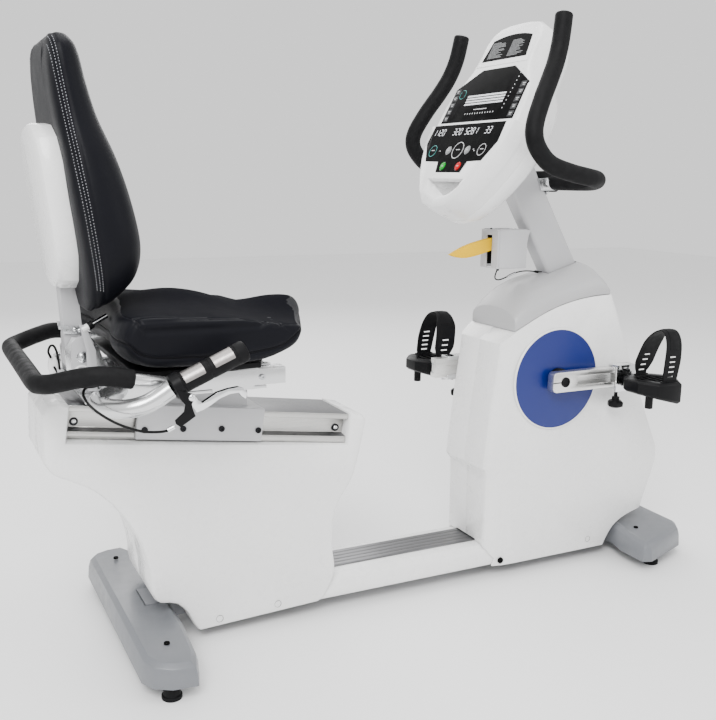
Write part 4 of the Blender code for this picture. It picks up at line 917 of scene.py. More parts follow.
def between(table, at_value):
    """Read a table of (place, value) rows, in straight lines between them."""
    if at_value <= table[0][0]:
        return table[0][1]
    for low, high in zip(table, table[1:]):
        if at_value <= high[0]:
            return low[1] + (high[1] - low[1]) * (at_value - low[0]) / (high[0] - low[0])
    return table[-1][1]


def seat_cushion():
    """The seat: a dished pad with a rolled edge and side panels above a lower piped edge."""
    soft = inflate(seat_shape(), 3.0, 0.012, 0.15, 4)
    subdivide(soft)
    low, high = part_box("seat_cushion")
    middle = (low + high) / 2

    def faded(p, first, last):
        x = p.x - SHIFT
        return min(1.0, max(0.0, (x - first) / 0.02), max(0.0, (last - x) / 0.05)) * seat_side(p)

    def above_roll(p):
        x = p.x - SHIFT
        reach = faded(p, -0.603, -0.285)
        line = 0.7205 - 0.03 * (x + 0.36) if x > -0.36 else 0.7205
        return (p.z - line + 0.03 * (1 - reach)) if reach > 0.02 else None

    def below_roll(p):
        x = p.x - SHIFT
        reach = faded(p, -0.59, -0.3)
        line = 0.7025 - 0.02 * (x + 0.36) if x > -0.36 else 0.7025
        return (p.z - line - 0.03 * (1 - reach)) if reach > 0.02 else None

    def lower_seam(p):
        z = seat_piping_z(p.x)
        return p.z - z if abs(p.z - z) < 0.02 else None

    def front_seam(p):
        x = p.x - SHIFT
        if x < -0.32 or p.z < 0.695:
            return None
        line = -0.292 + 4.2 * (p.z - 0.704)
        return (x - line) * 0.5 if abs(p.y) > 0.16 else None

    groove(soft, 0.0016, 0.0034, above_roll)
    groove(soft, 0.0042, 0.0065, below_roll)
    groove(soft, 0.003, 0.0034, lower_seam)
    groove(soft, 0.0014, 0.003, front_seam)
    finish_soft(soft, "seat_cushion", "seat")
    soft.data.materials.append(TOP_VINYL)
    for face in soft.data.polygons:
        if face.normal.z > TOP_FACE:
            face.material_index = 1
    half = (high - low) / 2
    line = []
    turns = 160
    for k in range(turns + 1):
        a = 2 * math.pi * k / turns
        reach = Vector((math.cos(a) * (half.x + 0.1), math.sin(a) * (half.y + 0.1), 0))
        z = seat_piping_z(middle.x + reach.x)
        for _ in range(PIPING_ROUNDS):
            start = Vector((middle.x + reach.x, middle.y + reach.y, z))
            hit, place, normal, _ = soft.ray_cast(start, Vector((middle.x, middle.y, z)) - start)
            if not hit:
                break
            z = seat_piping_z(place.x)
        if hit:
            line.append(place - normal * 0.0004)
    bent("seat_piping", line, 0.0021, "seat", PIPING, "vinyl", 8, 60)
    return soft


def gusset_x(z, shift):
    """How far forward a seam lies on the backrest's side at a height, shifted from the rear edge."""
    return -0.7195 + SHIFT + (1.22 - z) * 0.14 + shift


def backrest_seam(shift):
    """How far a point lies in front of a side seam of the backrest."""

    def distance(p):
        return (p.x - gusset_x(p.z, shift)) if abs(p.y) > 0.05 else None

    return distance


def backrest_cushion():
    """The back pad: a crowned front panel, a gusset with three rows of stitching, and a flat rear."""
    soft = inflate(backrest_shape(), 3.0, 0.012, 0.3, 4)
    subdivide(soft)
    groove(soft, 0.0014, 0.0034, backrest_seam(0.0195))
    groove(soft, 0.0014, 0.0034, backrest_seam(0.036))
    finish_soft(soft, "backrest_cushion", "backrest")
    low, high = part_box("backrest_cushion")
    for word, side in SIDES:
        for k, shift in enumerate((0.0225, 0.0275, 0.0325)):
            starts = []
            for i in range(90):
                z = high.z - 0.01 - (high.z - low.z - 0.04) * i / 89
                starts.append(Vector((gusset_x(z, shift), side * 0.4, z)))
            line = surface_line(soft, starts, (0, -side, 0), 0.0004)
            if len(line) > 3:
                stitches(f"back_stitch_{word}_{k + 1}", line, "backrest")
    return soft


# ---- handles ----
def bar_side(side):
    """The route of one horn of the handlebar, from its tip to the mast."""
    line = [(0.3665, 0.201, 1.338), (0.356, 0.207, 1.278), (0.34, 0.215, 1.232), (0.318, 0.225, 1.192)]
    line += [(0.291, 0.238, 1.149), (0.266, 0.251, 1.1), (0.2625, 0.256, 1.068), (0.278, 0.256, 1.04)]
    line += [(0.311, 0.255, 1.014), (0.369, 0.252, 0.998), (0.423, 0.247, 0.989), (0.457, 0.232, 0.985)]
    line += [(0.477, 0.208, 0.981), (0.487, 0.174, 0.978), (0.487, 0.12, 0.977), (0.487, 0.052, 0.977)]
    return curve_through([at(x, side * y, z) for x, y, z in line], 5)


def handlebar():
    """Foam grips, and the clamp, cover and bolts that hold the bar to the mast."""
    for word, side in SIDES:
        path, radii = domed(bar_side(side)[1:], 0.0194, 0.006)
        node = "handlebar_grip_" + word
        bent("handlebar_foam_" + word, path, radii, "chassis", FOAM, sides=28, angle=60, stands_for=[node])
    clamp = slab(
        "handlebar_clamp",
        box_outline((-0.0235, 0.193), (0.0235, 0.238)),
        lambda y, along, out: mast_point(along, out, y),
        0.0545,
        0.0585,
    )
    piece(round_edges(clamp, 0.001), "chassis", CHROME, "steel")
    saddle = [(0.452, 0.985), (0.494, 0.988), (0.51, 0.977), (0.517, 0.963), (0.506, 0.957), (0.463, 0.956)]
    for word, side in SIDES:
        plate_from(
            "saddle_plate_" + word, saddle, side * 0.0255, side * 0.029, "chassis", ZINC, "steel", 0.0008
        )
        inner = [
            (0.462, 0.981), (0.492, 0.983), (0.503, 0.975), (0.508, 0.965), (0.502, 0.961), (0.469, 0.96)
        ]
        plate_from(
            "saddle_pad_" + word, inner, side * 0.0288, side * 0.03, "chassis", SILVER, "steel", 0.0005
        )
        dome_bolt(
            "saddle_bolt_" + word, at(0.484, side * 0.0298, 0.971), (0, side, 0), 0.005, "chassis", ZINC,
            "steel"
        )
    cover = [(0.448, 1.002), (0.49, 1.004), (0.526, 0.984), (0.528, 0.962), (0.514, 0.953), (0.464, 0.953)]
    plate_from("saddle_cover", cover, -0.0252, 0.0252, "chassis", BLACK, "black", 0.003)
    for k, (y, along) in enumerate(((-0.014, 0.201), (0.014, 0.201))):
        forward = mast_point(0, 1, 0) - mast_point(0, 0, 0)
        dome_bolt(
            f"clamp_bolt_{k + 1}", mast_point(along, 0.0585, y), forward, 0.0062, "chassis", ZINC, "steel"
        )


def mast_point(along, forward, y):
    """A point along, in front of and across the leaning console mast."""
    c = math.cos(MAST_LEAN)
    s = math.sin(MAST_LEAN)
    return MAST_FOOT + Vector((forward * c - along * s, y, along * c + forward * s))


def rear_handle_route():
    """The bent bar round the back of the seat, from right to left."""
    end = Vector((-0.5, -0.1246, 0.5775))
    line = [(-0.5, -0.15, 0.5775), (-0.508, -0.2, 0.59), (-0.528, -0.242, 0.604), (-0.56, -0.265, 0.614)]
    line += [(-0.602, -0.272, 0.624), (-0.65, -0.266, 0.632), (-0.69, -0.246, 0.627)]
    line += [
        (-0.73, -0.226, 0.617), (-0.748, -0.206, 0.6135), (-0.7535, -0.18, 0.6125), (-0.7535, -0.08, 0.612)
    ]
    half = [at(*p) for p in [end] + curve_through(line, 4)]
    return half + [Vector((p.x, -p.y, p.z)) for p in half[::-1]]


def rear_handle():
    """The bar behind the seat and the foam over its middle."""
    route = rear_handle_route()
    bent("rear_handle_tube", route, 0.0116, "seat", SILVER, angle=50, stands_for=["rear_handle"])
    start = next(i for i, p in enumerate(route) if p.x < -0.6 + SHIFT)
    path, radii = domed(route[start:-start], 0.0178, 0.004)
    bent("rear_handle_foam", path, radii, "seat", FOAM, sides=28, angle=60, stands_for=["rear_handle_grip"])


def side_handles():
    """The bent tubes beside the seat, with their grips."""
    line = [(-0.596, 0.134, 0.574), (-0.616, 0.165, 0.574), (-0.648, 0.2, 0.573), (-0.643, 0.245, 0.57)]
    line += [(-0.612, 0.276, 0.5715), (-0.576, 0.2885, 0.582), GRIP_START]
    for word, side in SIDES:
        route = [at(-0.596, side * 0.1246, 0.574)]
        route += curve_through([at(x, side * y, z) for x, y, z in line], 6)
        node = "side_handle_" + word
        bent("side_tube_" + word, route, 0.0175, "seat", SILVER, sides=28, angle=50, stands_for=[node])
        hand_grip(word, side)


def hand_grip(word, side):
    """A grip with a thicker collar at its foot, two steel sensor plates and a domed end."""
    start = at(GRIP_START[0], side * GRIP_START[1], GRIP_START[2])
    end = at(GRIP_END[0], side * GRIP_END[1], GRIP_END[2])
    long = (end - start).length
    profile = [
        (0.002, 0.019), (0.004, 0.0215), (0.016, 0.0215), (0.019, 0.0196), (0.074, 0.0196), (0.075, 0.0188)
    ]
    profile += [
        (0.078, 0.0188), (0.079, 0.0196), (long - 0.022, 0.0196), (long - 0.021, 0.0204),
        (long - 0.006, 0.0204)
    ]
    profile += [(long - 0.002, 0.0185), (long, 0.014)]
    node = "hand_grip_" + word
    turned(
        "hand_grip_shown_" + word, start, end - start, profile, "seat", RUBBER, sides=36, stands_for=[node]
    )
    along = (end - start).normalized()
    up = Vector((0, -side * 0.3, 1.0))
    up = (up - along * up.dot(along)).normalized()
    across = along.cross(up)
    for k, (low, high) in enumerate(((0.026, 0.066), (0.086, 0.126))):
        for face, turn in enumerate((1.0, -1.0)):
            centre_turn = math.radians(62 * turn)
            rings = []
            for distance in (low, low + 0.0012, high - 0.0012, high):
                ring = []
                inset = 0.06 if distance in (low, high) else 0.0
                for r in (0.0192, 0.0201):
                    steps = 8
                    order = range(steps + 1) if r > 0.0195 else range(steps, -1, -1)
                    for i in order:
                        a = centre_turn + (i / steps - 0.5) * (1.45 - inset)
                        ring.append(
                            start + along * distance + up * (r * math.cos(a)) + across * (r * math.sin(a))
                        )
                rings.append(ring)
            plate = loft(f"pulse_plate_{word}_{k + 1}_{face + 1}", rings)
            piece(smooth(plate, 30), "seat", SENSOR, "steel")


# ---- drive side ----
def crank_disc(word, side):
    """The disc: a white rim round a blue face with a black boss."""
    face = 0.101
    spots = [
        (0.0, 0.1275), (0.0028, 0.1275), (0.004, 0.1262), (0.0042, 0.1238), (0.0032, 0.1236), (0.0032, 0.01)
    ]
    start = Vector((CRANK.x, side * face, CRANK.z))
    turned("disc_rim_" + word, start, (0, side, 0), spots, "crank", WHITE, "white", 96, 30)
    blue = [(0.0033, 0.1236), (0.0038, 0.1232), (0.0044, 0.1), (0.0048, 0.06), (0.005, 0.031), (0.0044, 0.03)]
    node = "crank_disc_" + word
    turned("disc_face_" + word, start, (0, side, 0), blue, "crank", BLUE, None, 96, 30, [node])
    boss = [(0.0046, 0.0285), (0.015, 0.0285), (0.0165, 0.0268), (0.0172, 0.024), (0.0172, 0.009)]
    turned("disc_boss_" + word, start, (0, side, 0), boss, "crank", BLACK, "black", 40, 30)


def crank_details(word, side):
    """The cap, a dark sheet of painted shade for the clamp slit, and the end screws of one crank arm."""
    toward = -side
    out = Vector((0, side, 0))
    outer = side * 0.1435
    middle = Vector((CRANK.x - toward * 0.004, outer, CRANK.z))
    cap = [
        (-0.001, 0.0125), (0.002, 0.0125), (0.0034, 0.0108), (0.0034, 0.0075), (0.0016, 0.007),
        (0.0016, 0.001)
    ]
    turned("crank_cap_" + word, middle, out, cap, "crank", BLACK, "black")
    low, high = sorted((CRANK.x - toward * 0.0402, CRANK.x - toward * 0.016))
    # A thin near-black sheet on the arm's face: painted shade where the clamp slit is.
    slit = slab(
        "clamp_slit_shade_" + word,
        box_outline((low, CRANK.z - 0.0012), (high, CRANK.z + 0.0012)),
        lambda x, z, y: Vector((x, y, z)),
        outer - side * 0.001,
        outer + side * 0.0003,
    )
    piece(smooth(slit), "crank", RECESS_SHADE, "black")
    for k, up in enumerate((0.018, -0.018)):
        start = Vector((CRANK.x + toward * ARM_TIP, side * 0.1315, CRANK.z + up * 0.6))
        socket_screw(
            f"arm_end_screw_{word}_{k + 1}", start, (toward, 0, 0), 0.0036, "crank", ZINC, "steel", 0.002
        )


def slider_details(word, side):
    """The dark end collar on the spindle and the two screws of a pedal carrier."""
    toward = -side
    centre = CRANK.x + toward * CRANK_RADIUS[word]
    out = Vector((0, side, 0))
    body = "slider_" + word
    start = Vector((centre, side * 0.1484, SPINDLE_Z))
    collar = [(0, 0.015), (0.006, 0.015), (0.0075, 0.0138), (0.0094, 0.0138)]
    turned("spindle_collar_" + word, start, out, collar, body, BLACK, "black")
    for k, dx in enumerate((-0.036, -0.01)):
        spot = Vector((centre + toward * dx, side * 0.1482, CRANK.z + 0.016))
        socket_screw(f"carrier_screw_{word}_{k + 1}", spot, out, 0.0042, body, BLACK_STEEL, "black", 0.003)


def strap_half(share):
    """Half the strap's width, from its inner foot (0) to its outer foot (1)."""
    table = ((0.0, 0.0165), (0.14, 0.0165), (0.22, 0.029), (0.34, 0.029), (0.46, 0.019), (0.62, 0.023))
    table += ((0.76, 0.025), (0.88, 0.0215), (1.0, 0.0215))
    return between(table, share)


def strap_route():
    """(distance from the middle, height over the spindle) along the arch of a pedal strap."""
    inner, outer = STRAP_Y
    foot = PEDAL_TOP - 0.009
    line = [(inner, foot), (inner, 0.024), (inner, 0.036), (inner + 0.004, 0.068), (inner + 0.015, 0.106)]
    line += [(inner + 0.032, 0.131), (inner + 0.052, 0.1405), (outer - 0.024, 0.135), (outer - 0.008, 0.112)]
    line += [(outer - 0.001, 0.076), (outer, 0.036), (outer, 0.024), (outer, foot)]
    return curve_through([(y, h, 0.0) for y, h in line], 5)


def strap_middle(share, height):
    """How far forward of the spindle the middle of the strap lies."""
    return 0.006 + (0.3 - 0.2 * share) * max(0.0, height - 0.03)


def strap_mesh(name, word, side, thickness, spread, first, last, lift=0.0):
    """A length of the strap's arch, of a given thickness and share of its width."""
    centre = CRANK.x - side * CRANK_RADIUS[word]
    path = strap_route()
    whole = len(path) - 1
    rings = []
    for i in range(int(first * whole), int(last * whole) + 1):
        point = path[i]
        along = (path[min(i + 1, whole)] - path[max(i - 1, 0)]).normalized()
        out = Vector((-along.y, along.x, 0.0))
        half = strap_half(i / whole) * spread
        middle = centre + strap_middle(i / whole, point.y)
        top = point + out * (thickness / 2 + lift)
        low = point - out * (thickness / 2 - lift)
        crown = top + out * 0.0004
        corners = [(-1, top), (-0.9, crown), (0.9, crown), (1, top), (1, low), (-1, low)]
        rings.append([Vector((middle + half * s, side * p.x, SPINDLE_Z + p.y)) for s, p in corners])
    return loft(name, rings)


def pedal_strap(word, side):
    """The strap, slotted down both legs, with a raised centre band and a collar round each foot."""
    strap = strap_mesh("strap_shown_" + word, word, side, 0.003, 1.0, 0.0, 1.0)
    centre = CRANK.x - side * CRANK_RADIUS[word]
    cutters = []
    legs = (
        (STRAP_Y[0], 0.12, (0.034, 0.047, 0.06, 0.073)),
        (STRAP_Y[1], 0.86, (0.034, 0.046, 0.058, 0.07, 0.082))
    )
    for y, share, heights in legs:
        for height in heights:
            middle = centre + strap_middle(share, height)
            z = SPINDLE_Z + height
            corners = box_outline((middle - 0.01, z - 0.0019), (middle + 0.01, z + 0.0019))
            ends = (side * (y - 0.012), side * (y + 0.012))
            cutters.append(slab("slot", corners, lambda x, h, d: Vector((x, d, h)), *ends))
    cut(strap, *cutters)
    piece(round_edges(strap, 0.0005, 1), "pedal_" + word, RUBBER, stands_for=["pedal_strap_" + word])
    band = strap_mesh("strap_band_" + word, word, side, 0.0016, 0.55, 0.36, 0.7, 0.002)
    piece(round_edges(band, 0.0004, 1), "pedal_" + word, RUBBER, "rubber")
    for k, (y, half) in enumerate(zip(STRAP_Y, (0.0165, 0.0215))):
        top = SPINDLE_Z + PEDAL_TOP

        def block(name, wide, thick, low, high):
            x = centre + 0.006
            corners = box_outline((x - wide, y - thick), (x + wide, y + thick))
            return slab(name, corners, lambda a, b, h: Vector((a, side * b, h)), top + low, top + high)

        collar = block(f"strap_collar_{word}_{k + 1}", half + 0.0045, 0.0044, -0.001, 0.0026)
        cut(collar, block("hole", half + 0.001, 0.0019, -0.004, 0.008))
        piece(round_edges(collar, 0.0008, 1), "pedal_" + word, BLACK, "black")


def pedal_tread(word, side):
    """Raised ribs across the platform of a pedal."""
    centre = CRANK.x - side * CRANK_RADIUS[word]
    ribs = []
    count = 5
    for k in range(count):
        x = centre + (k - (count - 1) / 2) * 0.0175
        corners = box_outline((x - 0.0022, PEDAL_Y[0] + 0.024), (x + 0.0022, PEDAL_Y[1] - 0.024))
        bottom = SPINDLE_Z + 0.013
        ribs.append(slab("rib", corners, lambda a, b, h: Vector((a, side * b, h)), bottom, bottom + 0.0062))
    tread = merge("pedal_tread_" + word, ribs)
    piece(round_edges(tread, 0.0008, 1), "pedal_" + word, RUBBER, "rubber")


# ---- console artwork ----
def face(y, up, out):
    """A point across, up and out of the console's sloping face."""
    c = math.cos(FACE_LEAN)
    s = math.sin(FACE_LEAN)
    return Vector((up * s - out * c + SHIFT, y, up * c + out * s))


def sheet_on_face(name, outline, low, high, material, holes=()):
    """A thin overlay on the console, with round holes at (y, up, radius)."""
    plate = slab(name, outline, face, low, high)
    if holes:
        ring = [2 * math.pi * k / 28 for k in range(28)]
        cutters = []
        for y, up, r in holes:
            spots = [(y + r * math.cos(a), up + r * math.sin(a)) for a in ring]
            cutters.append(slab("hole", spots, face, low - 0.002, high + 0.002))
        cut(plate, *cutters)
    return piece(round_edges(plate, 0.0003, 1), "chassis", material, "black")


def marks(name, bars, out, material, thick=0.00025):
    """Flat printed bars, each given by its corners on the face."""
    return piece(
        merge(name, [slab("bar", bar, face, out, out + thick) for bar in bars]), "chassis", material, "white"
    )


def bar(y, up, wide, high, slant=0.0):
    """A small four-cornered mark, leaning over by slant."""
    return [
        (y + wide, up - high), (y - wide, up - high), (y - wide - slant, up + high),
        (y + wide - slant, up + high)
    ]


def ring_bars(y, up, radius, width, count=28, missing=()):
    """A ring of small marks, some of which may be left out."""
    out = []
    for k in range(count):
        if k not in missing:
            a, b = (2 * math.pi * turn / count for turn in (k, k + 1))
            spots = [(radius, a), (radius, b), (radius - width, b), (radius - width, a)]
            out.append([(y + r * math.cos(t), up + r * math.sin(t)) for r, t in spots])
    return out


DIGIT_LEAN = 0.16


def digit_bars(shape, y, up):
    """The lit bars of one seven-segment character."""
    wide, high, thick = 0.0034, 0.004, 0.0008
    places = {
        "top": (0, 2 * high, wide, thick),
        "middle": (0, 0, wide, thick),
        "bottom": (0, -2 * high, wide, thick),
        "top_left": (wide + 0.0009, high, thick, high * 0.8),
        "top_right": (-wide - 0.0009, high, thick, high * 0.8),
        "low_left": (wide + 0.0009, -high, thick, high * 0.8),
        "low_right": (-wide - 0.0009, -high, thick, high * 0.8),
    }
    out = []
    for across, rise, half_wide, half_high in (places[stroke] for stroke in shape):
        out.append(bar(y + across - DIGIT_LEAN * rise, up + rise, half_wide, half_high))
    return out


DIGIT_SHAPES = {
    "0": ("top", "bottom", "top_left", "top_right", "low_left", "low_right"),
    "1": ("top_right", "low_right"),
    "2": ("top", "middle", "bottom", "top_right", "low_left"),
    "3": ("top", "middle", "bottom", "top_right", "low_right"),
    "5": ("top", "middle", "bottom", "top_left", "low_right"),
    "8": ("top", "middle", "bottom", "top_left", "top_right", "low_left", "low_right"),
}


def mirrored(half):
    """A closed outline from its points on one side of the middle."""
    return [*half, *((-y, up) for y, up in half[::-1])]


def console():
    """The placard, the display window, the lower panel and their printed and lit marks."""
    crown = [(0.076 - 0.0152 * k, 1.337 + 0.01 * (1 - (k / 5 - 1) ** 2)) for k in range(11)]
    placard = crown + [(-0.088, 1.281), (0.088, 1.281)]
    brow = [(0.088 - 0.0176 * k, 1.35 + 0.011 * (1 - (k / 5 - 1) ** 2)) for k in range(11)]
    sheet_on_face("placard_frame", brow + [(-0.101, 1.268), (0.101, 1.268)], 0.26, 0.2632, CONSOLE_WHITE)
    sheet_on_face("placard", placard, 0.2628, PLACARD_TOP, OVERLAY)
    rows = []
    rng = random.Random(5)
    for column in (0.04, -0.04):
        for k in range(14):
            up = 1.3285 - k * 0.0031
            long = 0.03 * rng.uniform(0.62, 1.0) if k % 5 else 0.016
            start = column + 0.032
            rows.append(
                [(start, up), (start - 2 * long, up), (start - 2 * long, up + 0.0013), (start, up + 0.0013)]
            )
    marks("placard_lines", rows, PLACARD_TOP, GREY_INK)

    sheet_on_face(
        "display_window", mirrored(((-0.064, 1.258), (-0.146, 1.212), (-0.149, 1.119))), 0.259,
        WINDOW_TOP, GLASS_BLACK
    )
    spots = [(0.076 - k * 0.0066, 1.166 + row * 0.0072) for row in range(4) for k in range(24)]
    matrix = [bar(y, up, 0.0026, 0.0022, 0.001) for y, up in spots]
    marks("program_matrix", matrix, WINDOW_TOP, LIT)
    ticks = [bar(0.056 - k * 0.0105, 1.14, 0.0011, 0.0019) for k in range(12)]
    ticks += [bar(0.026 - k * 0.0042, 1.1505, 0.0016, 0.001) for k in range(13)]
    ticks += [bar(-0.09 - 0.0012 * k, 1.148 + k * 0.0098, 0.0013, 0.0013) for k in range(11)]
    marks("window_ticks", ticks, WINDOW_TOP, WHITE_INK)
    marks("window_ring", ring_bars(0.107, 1.196, 0.0125, 0.0012, missing=(3, 4, 17)), WINDOW_TOP, TEAL_INK)
    side_keys = []
    icons = []
    for sign in (1, -1):
        for k in range(5):
            up = 1.131 + k * 0.0185
            side_keys.append(bar(sign * (0.1345 - 0.0006 * k), up, 0.01, 0.0074))
            icons.append(bar(sign * 0.1338, up + 0.002, 0.0052, 0.0007))
            icons.append(bar(sign * 0.1338, up - 0.002, 0.0036, 0.0007))
    marks("side_key_pads", side_keys, WINDOW_TOP, rubbery("key_pad_grey", (0.03, 0.031, 0.033), 0.4), 0.0004)
    marks("side_key_marks", icons, 0.2634, WHITE_INK)

    panel = [
        (0.148, 1.1065), (-0.148, 1.1065), (-0.151, 1.057), (-0.12, 1.0095), (-0.0655, 1.008), (-0.055, 0.98)
    ]
    panel += [(0.05, 0.98), (0.06, 1.008), (0.12, 1.0095), (0.151, 1.057)]
    holes = [(y, up, 0.0112) for y, up in KEY_SPOTS.values()]
    sheet_on_face("lower_panel", panel, 0.27, PANEL_TOP, OVERLAY, holes)
    top = PANEL_TOP
    digits = []
    for text, start in (("1120", 0.134), ("320", 0.046), ("5281", -0.006), ("33", -0.088)):
        for k, shape in enumerate(text):
            digits += digit_bars(DIGIT_SHAPES[shape], start - k * 0.0135, 1.0865)
    marks("panel_digits", digits, top, LIT)
    marks("panel_teal_ring", ring_bars(0.106, 1.037, 0.0155, 0.0014), top, TEAL_INK)
    rings = ring_bars(-0.005, 1.037, 0.0215, 0.0016, 36) + ring_bars(-0.103, 1.037, 0.015, 0.0012)
    rings.append(bar(-0.005, 1.0385, 0.008, 0.0009))
    for y, up, wide in (
        (0.106, 1.0385, 0.007),
        (-0.103, 1.0385, 0.0065),
        (-0.07, 1.0385, 0.0022),
        (-0.075, 1.0345, 0.0022),
        (0.073, 1.0365, 0.0022),
    ):
        rings.append(bar(y, up, wide, 0.0008))
    marks("panel_marks", rings, top, WHITE_INK)
    for key, (y, up) in KEY_SPOTS.items():
        label = merge(key + "_mark", [slab("mark", bar(y, up, 0.0042, 0.0006), face, 0.2734, 0.27365)])
        piece(label, key, WHITE_INK, "white")


# ---- step-through lock ----
def lock_details():
    """Cover plates, dark sheets of painted shade inside the box, screws and the cable's ends on the lever
    box.
    """
    top = 0.862
    low, high = (0.342, 0.7695), (0.4232, 0.8632)
    clip = 0.004
    cover = [
        (low[0] + clip, low[1]), (high[0] - clip, low[1]), (high[0], low[1] + clip), (high[0], high[1] - clip)
    ]
    cover += [
        (high[0] - clip, high[1]), (low[0] + clip, high[1]), (low[0], high[1] - clip), (low[0], low[1] + clip)
    ]
    for word, side in SIDES:
        plate_from(
            "box_cover_" + word, cover, side * 0.035, side * 0.0364, "chassis", PALE, "pale_paint", 0.0006
        )
        # Near-black sheets inside the side walls: painted shade for the box's open inside.
        shade_sheet = box_outline((0.345, 0.776), (0.411, 0.858))
        plate_from("box_painted_shade_" + word, shade_sheet, side * 0.03, side * 0.0315, "chassis", RECESS_SHADE, "black", 0.0003)
    # A near-black sheet at the back of the box: painted shade as well.
    back = box_outline((0.4105, 0.776), (0.412, 0.858))
    plate_from("box_painted_shade_back", back, -0.0298, 0.0298, "chassis", RECESS_SHADE, "black", 0.0003)
    for k, (x, y) in enumerate(((0.362, 0.018), (0.4, -0.016))):
        dome_bolt(f"box_bolt_{k + 1}", at(x, y, top), (0, 0, 1), 0.0045, "chassis", ZINC, "pale_paint")
    socket_screw(
        "box_stop_screw", at(0.352, 0.016, top), (0, 0, 1), 0.0028, "chassis", BLACK_STEEL, "black", 0.003
    )
    for name, spots, radius, material, slot, sides in (
        ("cable_eyelet", ((0.3565, 0.7625), (0.356, 0.7695)), 0.0034, BLACK_STEEL, "black", 24),
        ("cable_ferrule", ((0.386, 0.7468), (0.397, 0.7512), (0.409, 0.7553)), 0.0026, CHROME, "steel", 16),
        ("cable_gland", ((0.47, 0.7568), (0.479, 0.7555)), 0.0032, SHEATH, "rubber", 16),
    ):
        bent(name, [at(x, -0.012, z) for x, z in spots], radius, "chassis", material, slot, sides)


# ---- seat base ----
def recline_details():
    """Cheek plates, pivot, clamp plates, latch lever with its cable, and the gas strut of the hinge."""
    for word, side in SIDES:
        out = Vector((0, side, 0))
        outline = [(-0.666, 0.574), (-0.622, 0.574), (-0.6205, 0.652), (-0.625, 0.659), (-0.634, 0.6645)]
        outline += [(-0.645, 0.666), (-0.655, 0.662), (-0.6645, 0.652)]
        plate_from("recline_cheek_" + word, outline, side * 0.0309, side * 0.035, "seat", PALE, "pale_paint")
        washer = [(-0.001, 0.0115), (0.0016, 0.0115), (0.0016, 0.002)]
        turned(
            "recline_washer_" + word, at(-0.644, side * 0.035, 0.6245), out, washer, "seat", CHROME, "steel"
        )
        dome_bolt(
            "recline_pivot_" + word, at(-0.644, side * 0.0366, 0.6245), out, 0.0088, "seat", ZINC, "steel"
        )
        ring = [(-0.001, 0.0165), (0.0024, 0.0165), (0.0024, 0.0135), (-0.001, 0.0135)]
        turned("cheek_ring_" + word, at(-0.646, side * 0.035, 0.592), out, ring, "seat", WHITE, "white", 40)
        for k, x in enumerate((-0.59, -0.47, -0.3)):
            socket_screw(
                f"base_bolt_{word}_{k + 1}", at(x, side * 0.124, 0.574), out, 0.006, "seat", ZINC,
                "steel", 0.004
            )
        foot = [
            (-0.68, 0.69), (-0.664, 0.686), (-0.638, 0.684), (-0.6365, 0.6705), (-0.664, 0.6705),
            (-0.677, 0.672)
        ]
        plate_from(
            "mast_clamp_" + word, foot, side * 0.0252, side * 0.0292, "backrest", ZINC, "steel", 0.0008
        )
        for k, (x, z) in enumerate(((-0.655, 0.679), (-0.6455, 0.6765))):
            dome_bolt(
                f"mast_clamp_bolt_{word}_{k + 1}", at(x, side * 0.029, z), out, 0.0042, "backrest",
                CHROME, "steel"
            )
    latch = [
        (-0.702, 0.622), (-0.695, 0.626), (-0.689, 0.621), (-0.684, 0.582), (-0.69, 0.576), (-0.7, 0.581)
    ]
    latch += [(-0.7045, 0.603)]
    plate_from("recline_latch", latch, -0.007, 0.007, "seat", WHITE, "white", 0.0016)
    mount = [(-0.69, 0.598), (-0.678, 0.598), (-0.668, 0.586), (-0.662, 0.578), (-0.686, 0.578)]
    plate_from("latch_mount", mount, -0.012, 0.012, "seat", PALE, "pale_paint")
    loop = [
        (-0.6995, 0.622), (-0.704, 0.634), (-0.7005, 0.645), (-0.694, 0.646), (-0.689, 0.636), (-0.686, 0.62)
    ]
    loop = curve_through([at(x, -0.01, z) for x, z in loop + [(-0.684, 0.597)]], 6)
    bent("latch_cable", loop, 0.0023, "seat", SHEATH, "sheath", 12, 60)
    rise = [
        at(x, -0.0085, z) for x, z in ((-0.6945, 0.604), (-0.689, 0.592), (-0.682, 0.58), (-0.674, 0.574))
    ]
    bent("latch_cable_tail", curve_through(rise, 5), 0.0021, "seat", SHEATH, "sheath", 12, 60)
    low = at(-0.632, -0.06, 0.69)
    high = at(-0.598, -0.06, 0.7085)
    bent("strut_rod", [low, high], 0.005, "seat", CHROME, "steel")
    axis = (high - low).normalized()
    bent("strut_collar", [low - axis * 0.003, low + axis * 0.007], 0.0082, "seat", BLACK, "black")
    bent("strut_eye", [low - axis * 0.016, low - axis * 0.003], 0.0068, "seat", WHITE, "white")
    stand = [(-0.652, 0.694), (-0.64, 0.69), (-0.622, 0.64), (-0.622, 0.56), (-0.64, 0.56), (-0.64, 0.64)]
    plate_from("strut_stand", stand, -0.064, -0.056, "seat", PALE, "pale_paint")


def lever_details():
    """Pivot screw, clamp ring and cable stop of the seat-release lever."""
    dome_bolt("lever_pivot_screw", at(-0.507, -0.3198, 0.592), (0, -1, 0), 0.0068, "seat", CHROME, "steel")
    stop = [at(-0.552, -0.3175, 0.5362), at(-0.54, -0.3175, 0.5415)]
    bent("cable_stop", stop, 0.0042, "seat", CHROME, "steel")
    start = at(GRIP_START[0], -GRIP_START[1], GRIP_START[2])
    end = at(GRIP_END[0], -GRIP_END[1], GRIP_END[2])
    along = (end - start).normalized()
    band = [(-0.008, 0.0216), (-0.006, 0.024), (0.01, 0.024), (0.012, 0.0216)]
    turned("lever_clamp", start + along * 0.01, along, band, "seat", BLACK, "black", 40, 40)


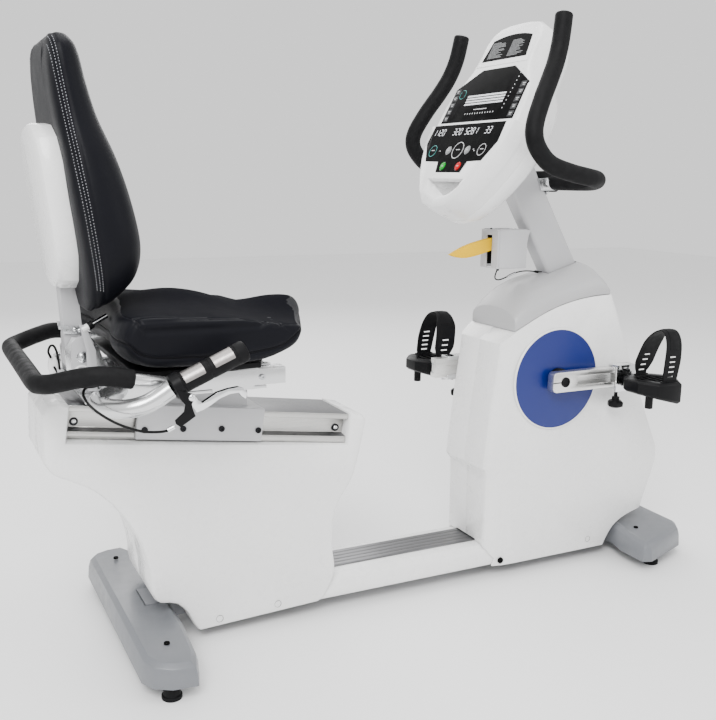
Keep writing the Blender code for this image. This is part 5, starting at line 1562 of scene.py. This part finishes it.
# ---- room ----
def studio():
    """A pale floor, an even pale room and four soft lamps."""
    floor = add("floor", [(-9, -9, 0), (9, -9, 0), (9, 9, 0), (-9, 9, 0)], [(0, 1, 2, 3)])
    n = Nodes("studio_floor", (0.9, 0.9, 0.9), 0.6)
    n.vary_colour(n.noise(0.4), 0.004)
    floor.data.materials.append(n.material)
    floor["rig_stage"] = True
    world = bpy.data.worlds.new("studio")
    world.use_nodes = True
    background = world.node_tree.nodes["Background"]
    background.inputs["Color"].default_value = (1.0, 1.0, 1.0, 1.0)
    background.inputs["Strength"].default_value = 1.15
    bpy.context.scene.world = world
    for name, place, size, power in (
        ("key", (-2.2, -3.0, 3.6), 2.2, 250),
        ("fill", (3.2, -2.6, 2.2), 2.4, 40),
        ("top", (0.0, 0.4, 4.2), 3.0, 90),
        ("back", (0.5, 3.6, 2.6), 2.4, 60),
    ):
        light = bpy.data.lights.new(name, "AREA")
        light.size = size
        light.energy = power
        lamp = bpy.data.objects.new(name, light)
        bpy.context.scene.collection.objects.link(lamp)
        lamp.location = place
        aim = Vector((0, 0, 0.6)) - Vector(place)
        lamp.rotation_euler = aim.to_track_quat("-Z", "Y").to_euler()


def camera():
    """A view from the rider's right and behind, a little above the seat."""
    view = bpy.data.cameras.new("camera")
    view.sensor_width = 36
    view.lens = 46.15
    eye = bpy.data.objects.new("camera", view)
    bpy.context.scene.collection.objects.link(eye)
    turn = Matrix.Rotation(math.radians(-26.84), 4, "Z")
    tilt = Matrix.Rotation(math.radians(90 - 11.17), 4, "X")
    roll = Matrix.Rotation(math.radians(0.93), 4, "Z")
    eye.matrix_world = Matrix.Translation((-1.0257, -1.875, 0.98)) @ turn @ tilt @ roll
    bpy.context.scene.camera = eye


camera()
studio()
paint_cad()
refine_hard_parts()
fasteners()
seat_cushion()
backrest_cushion()
handlebar()
rear_handle()
side_handles()
for word, side in SIDES:
    crank_disc(word, side)
    crank_details(word, side)
    slider_details(word, side)
    pedal_strap(word, side)
    pedal_tread(word, side)
console()
lock_details()
recline_details()
lever_details()


def plain(numbers):
    """Nested vectors as plain lists of numbers."""
    return [plain(x) if hasattr(x, "__len__") else round(float(x), 6) for x in numbers]


def write_sizes():
    """Work out the model's bounds at load and at the end, without keeping them."""
    {"at_load": plain(SIZE_AT_LOAD), "at_end": plain(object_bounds())}


write_sizes()
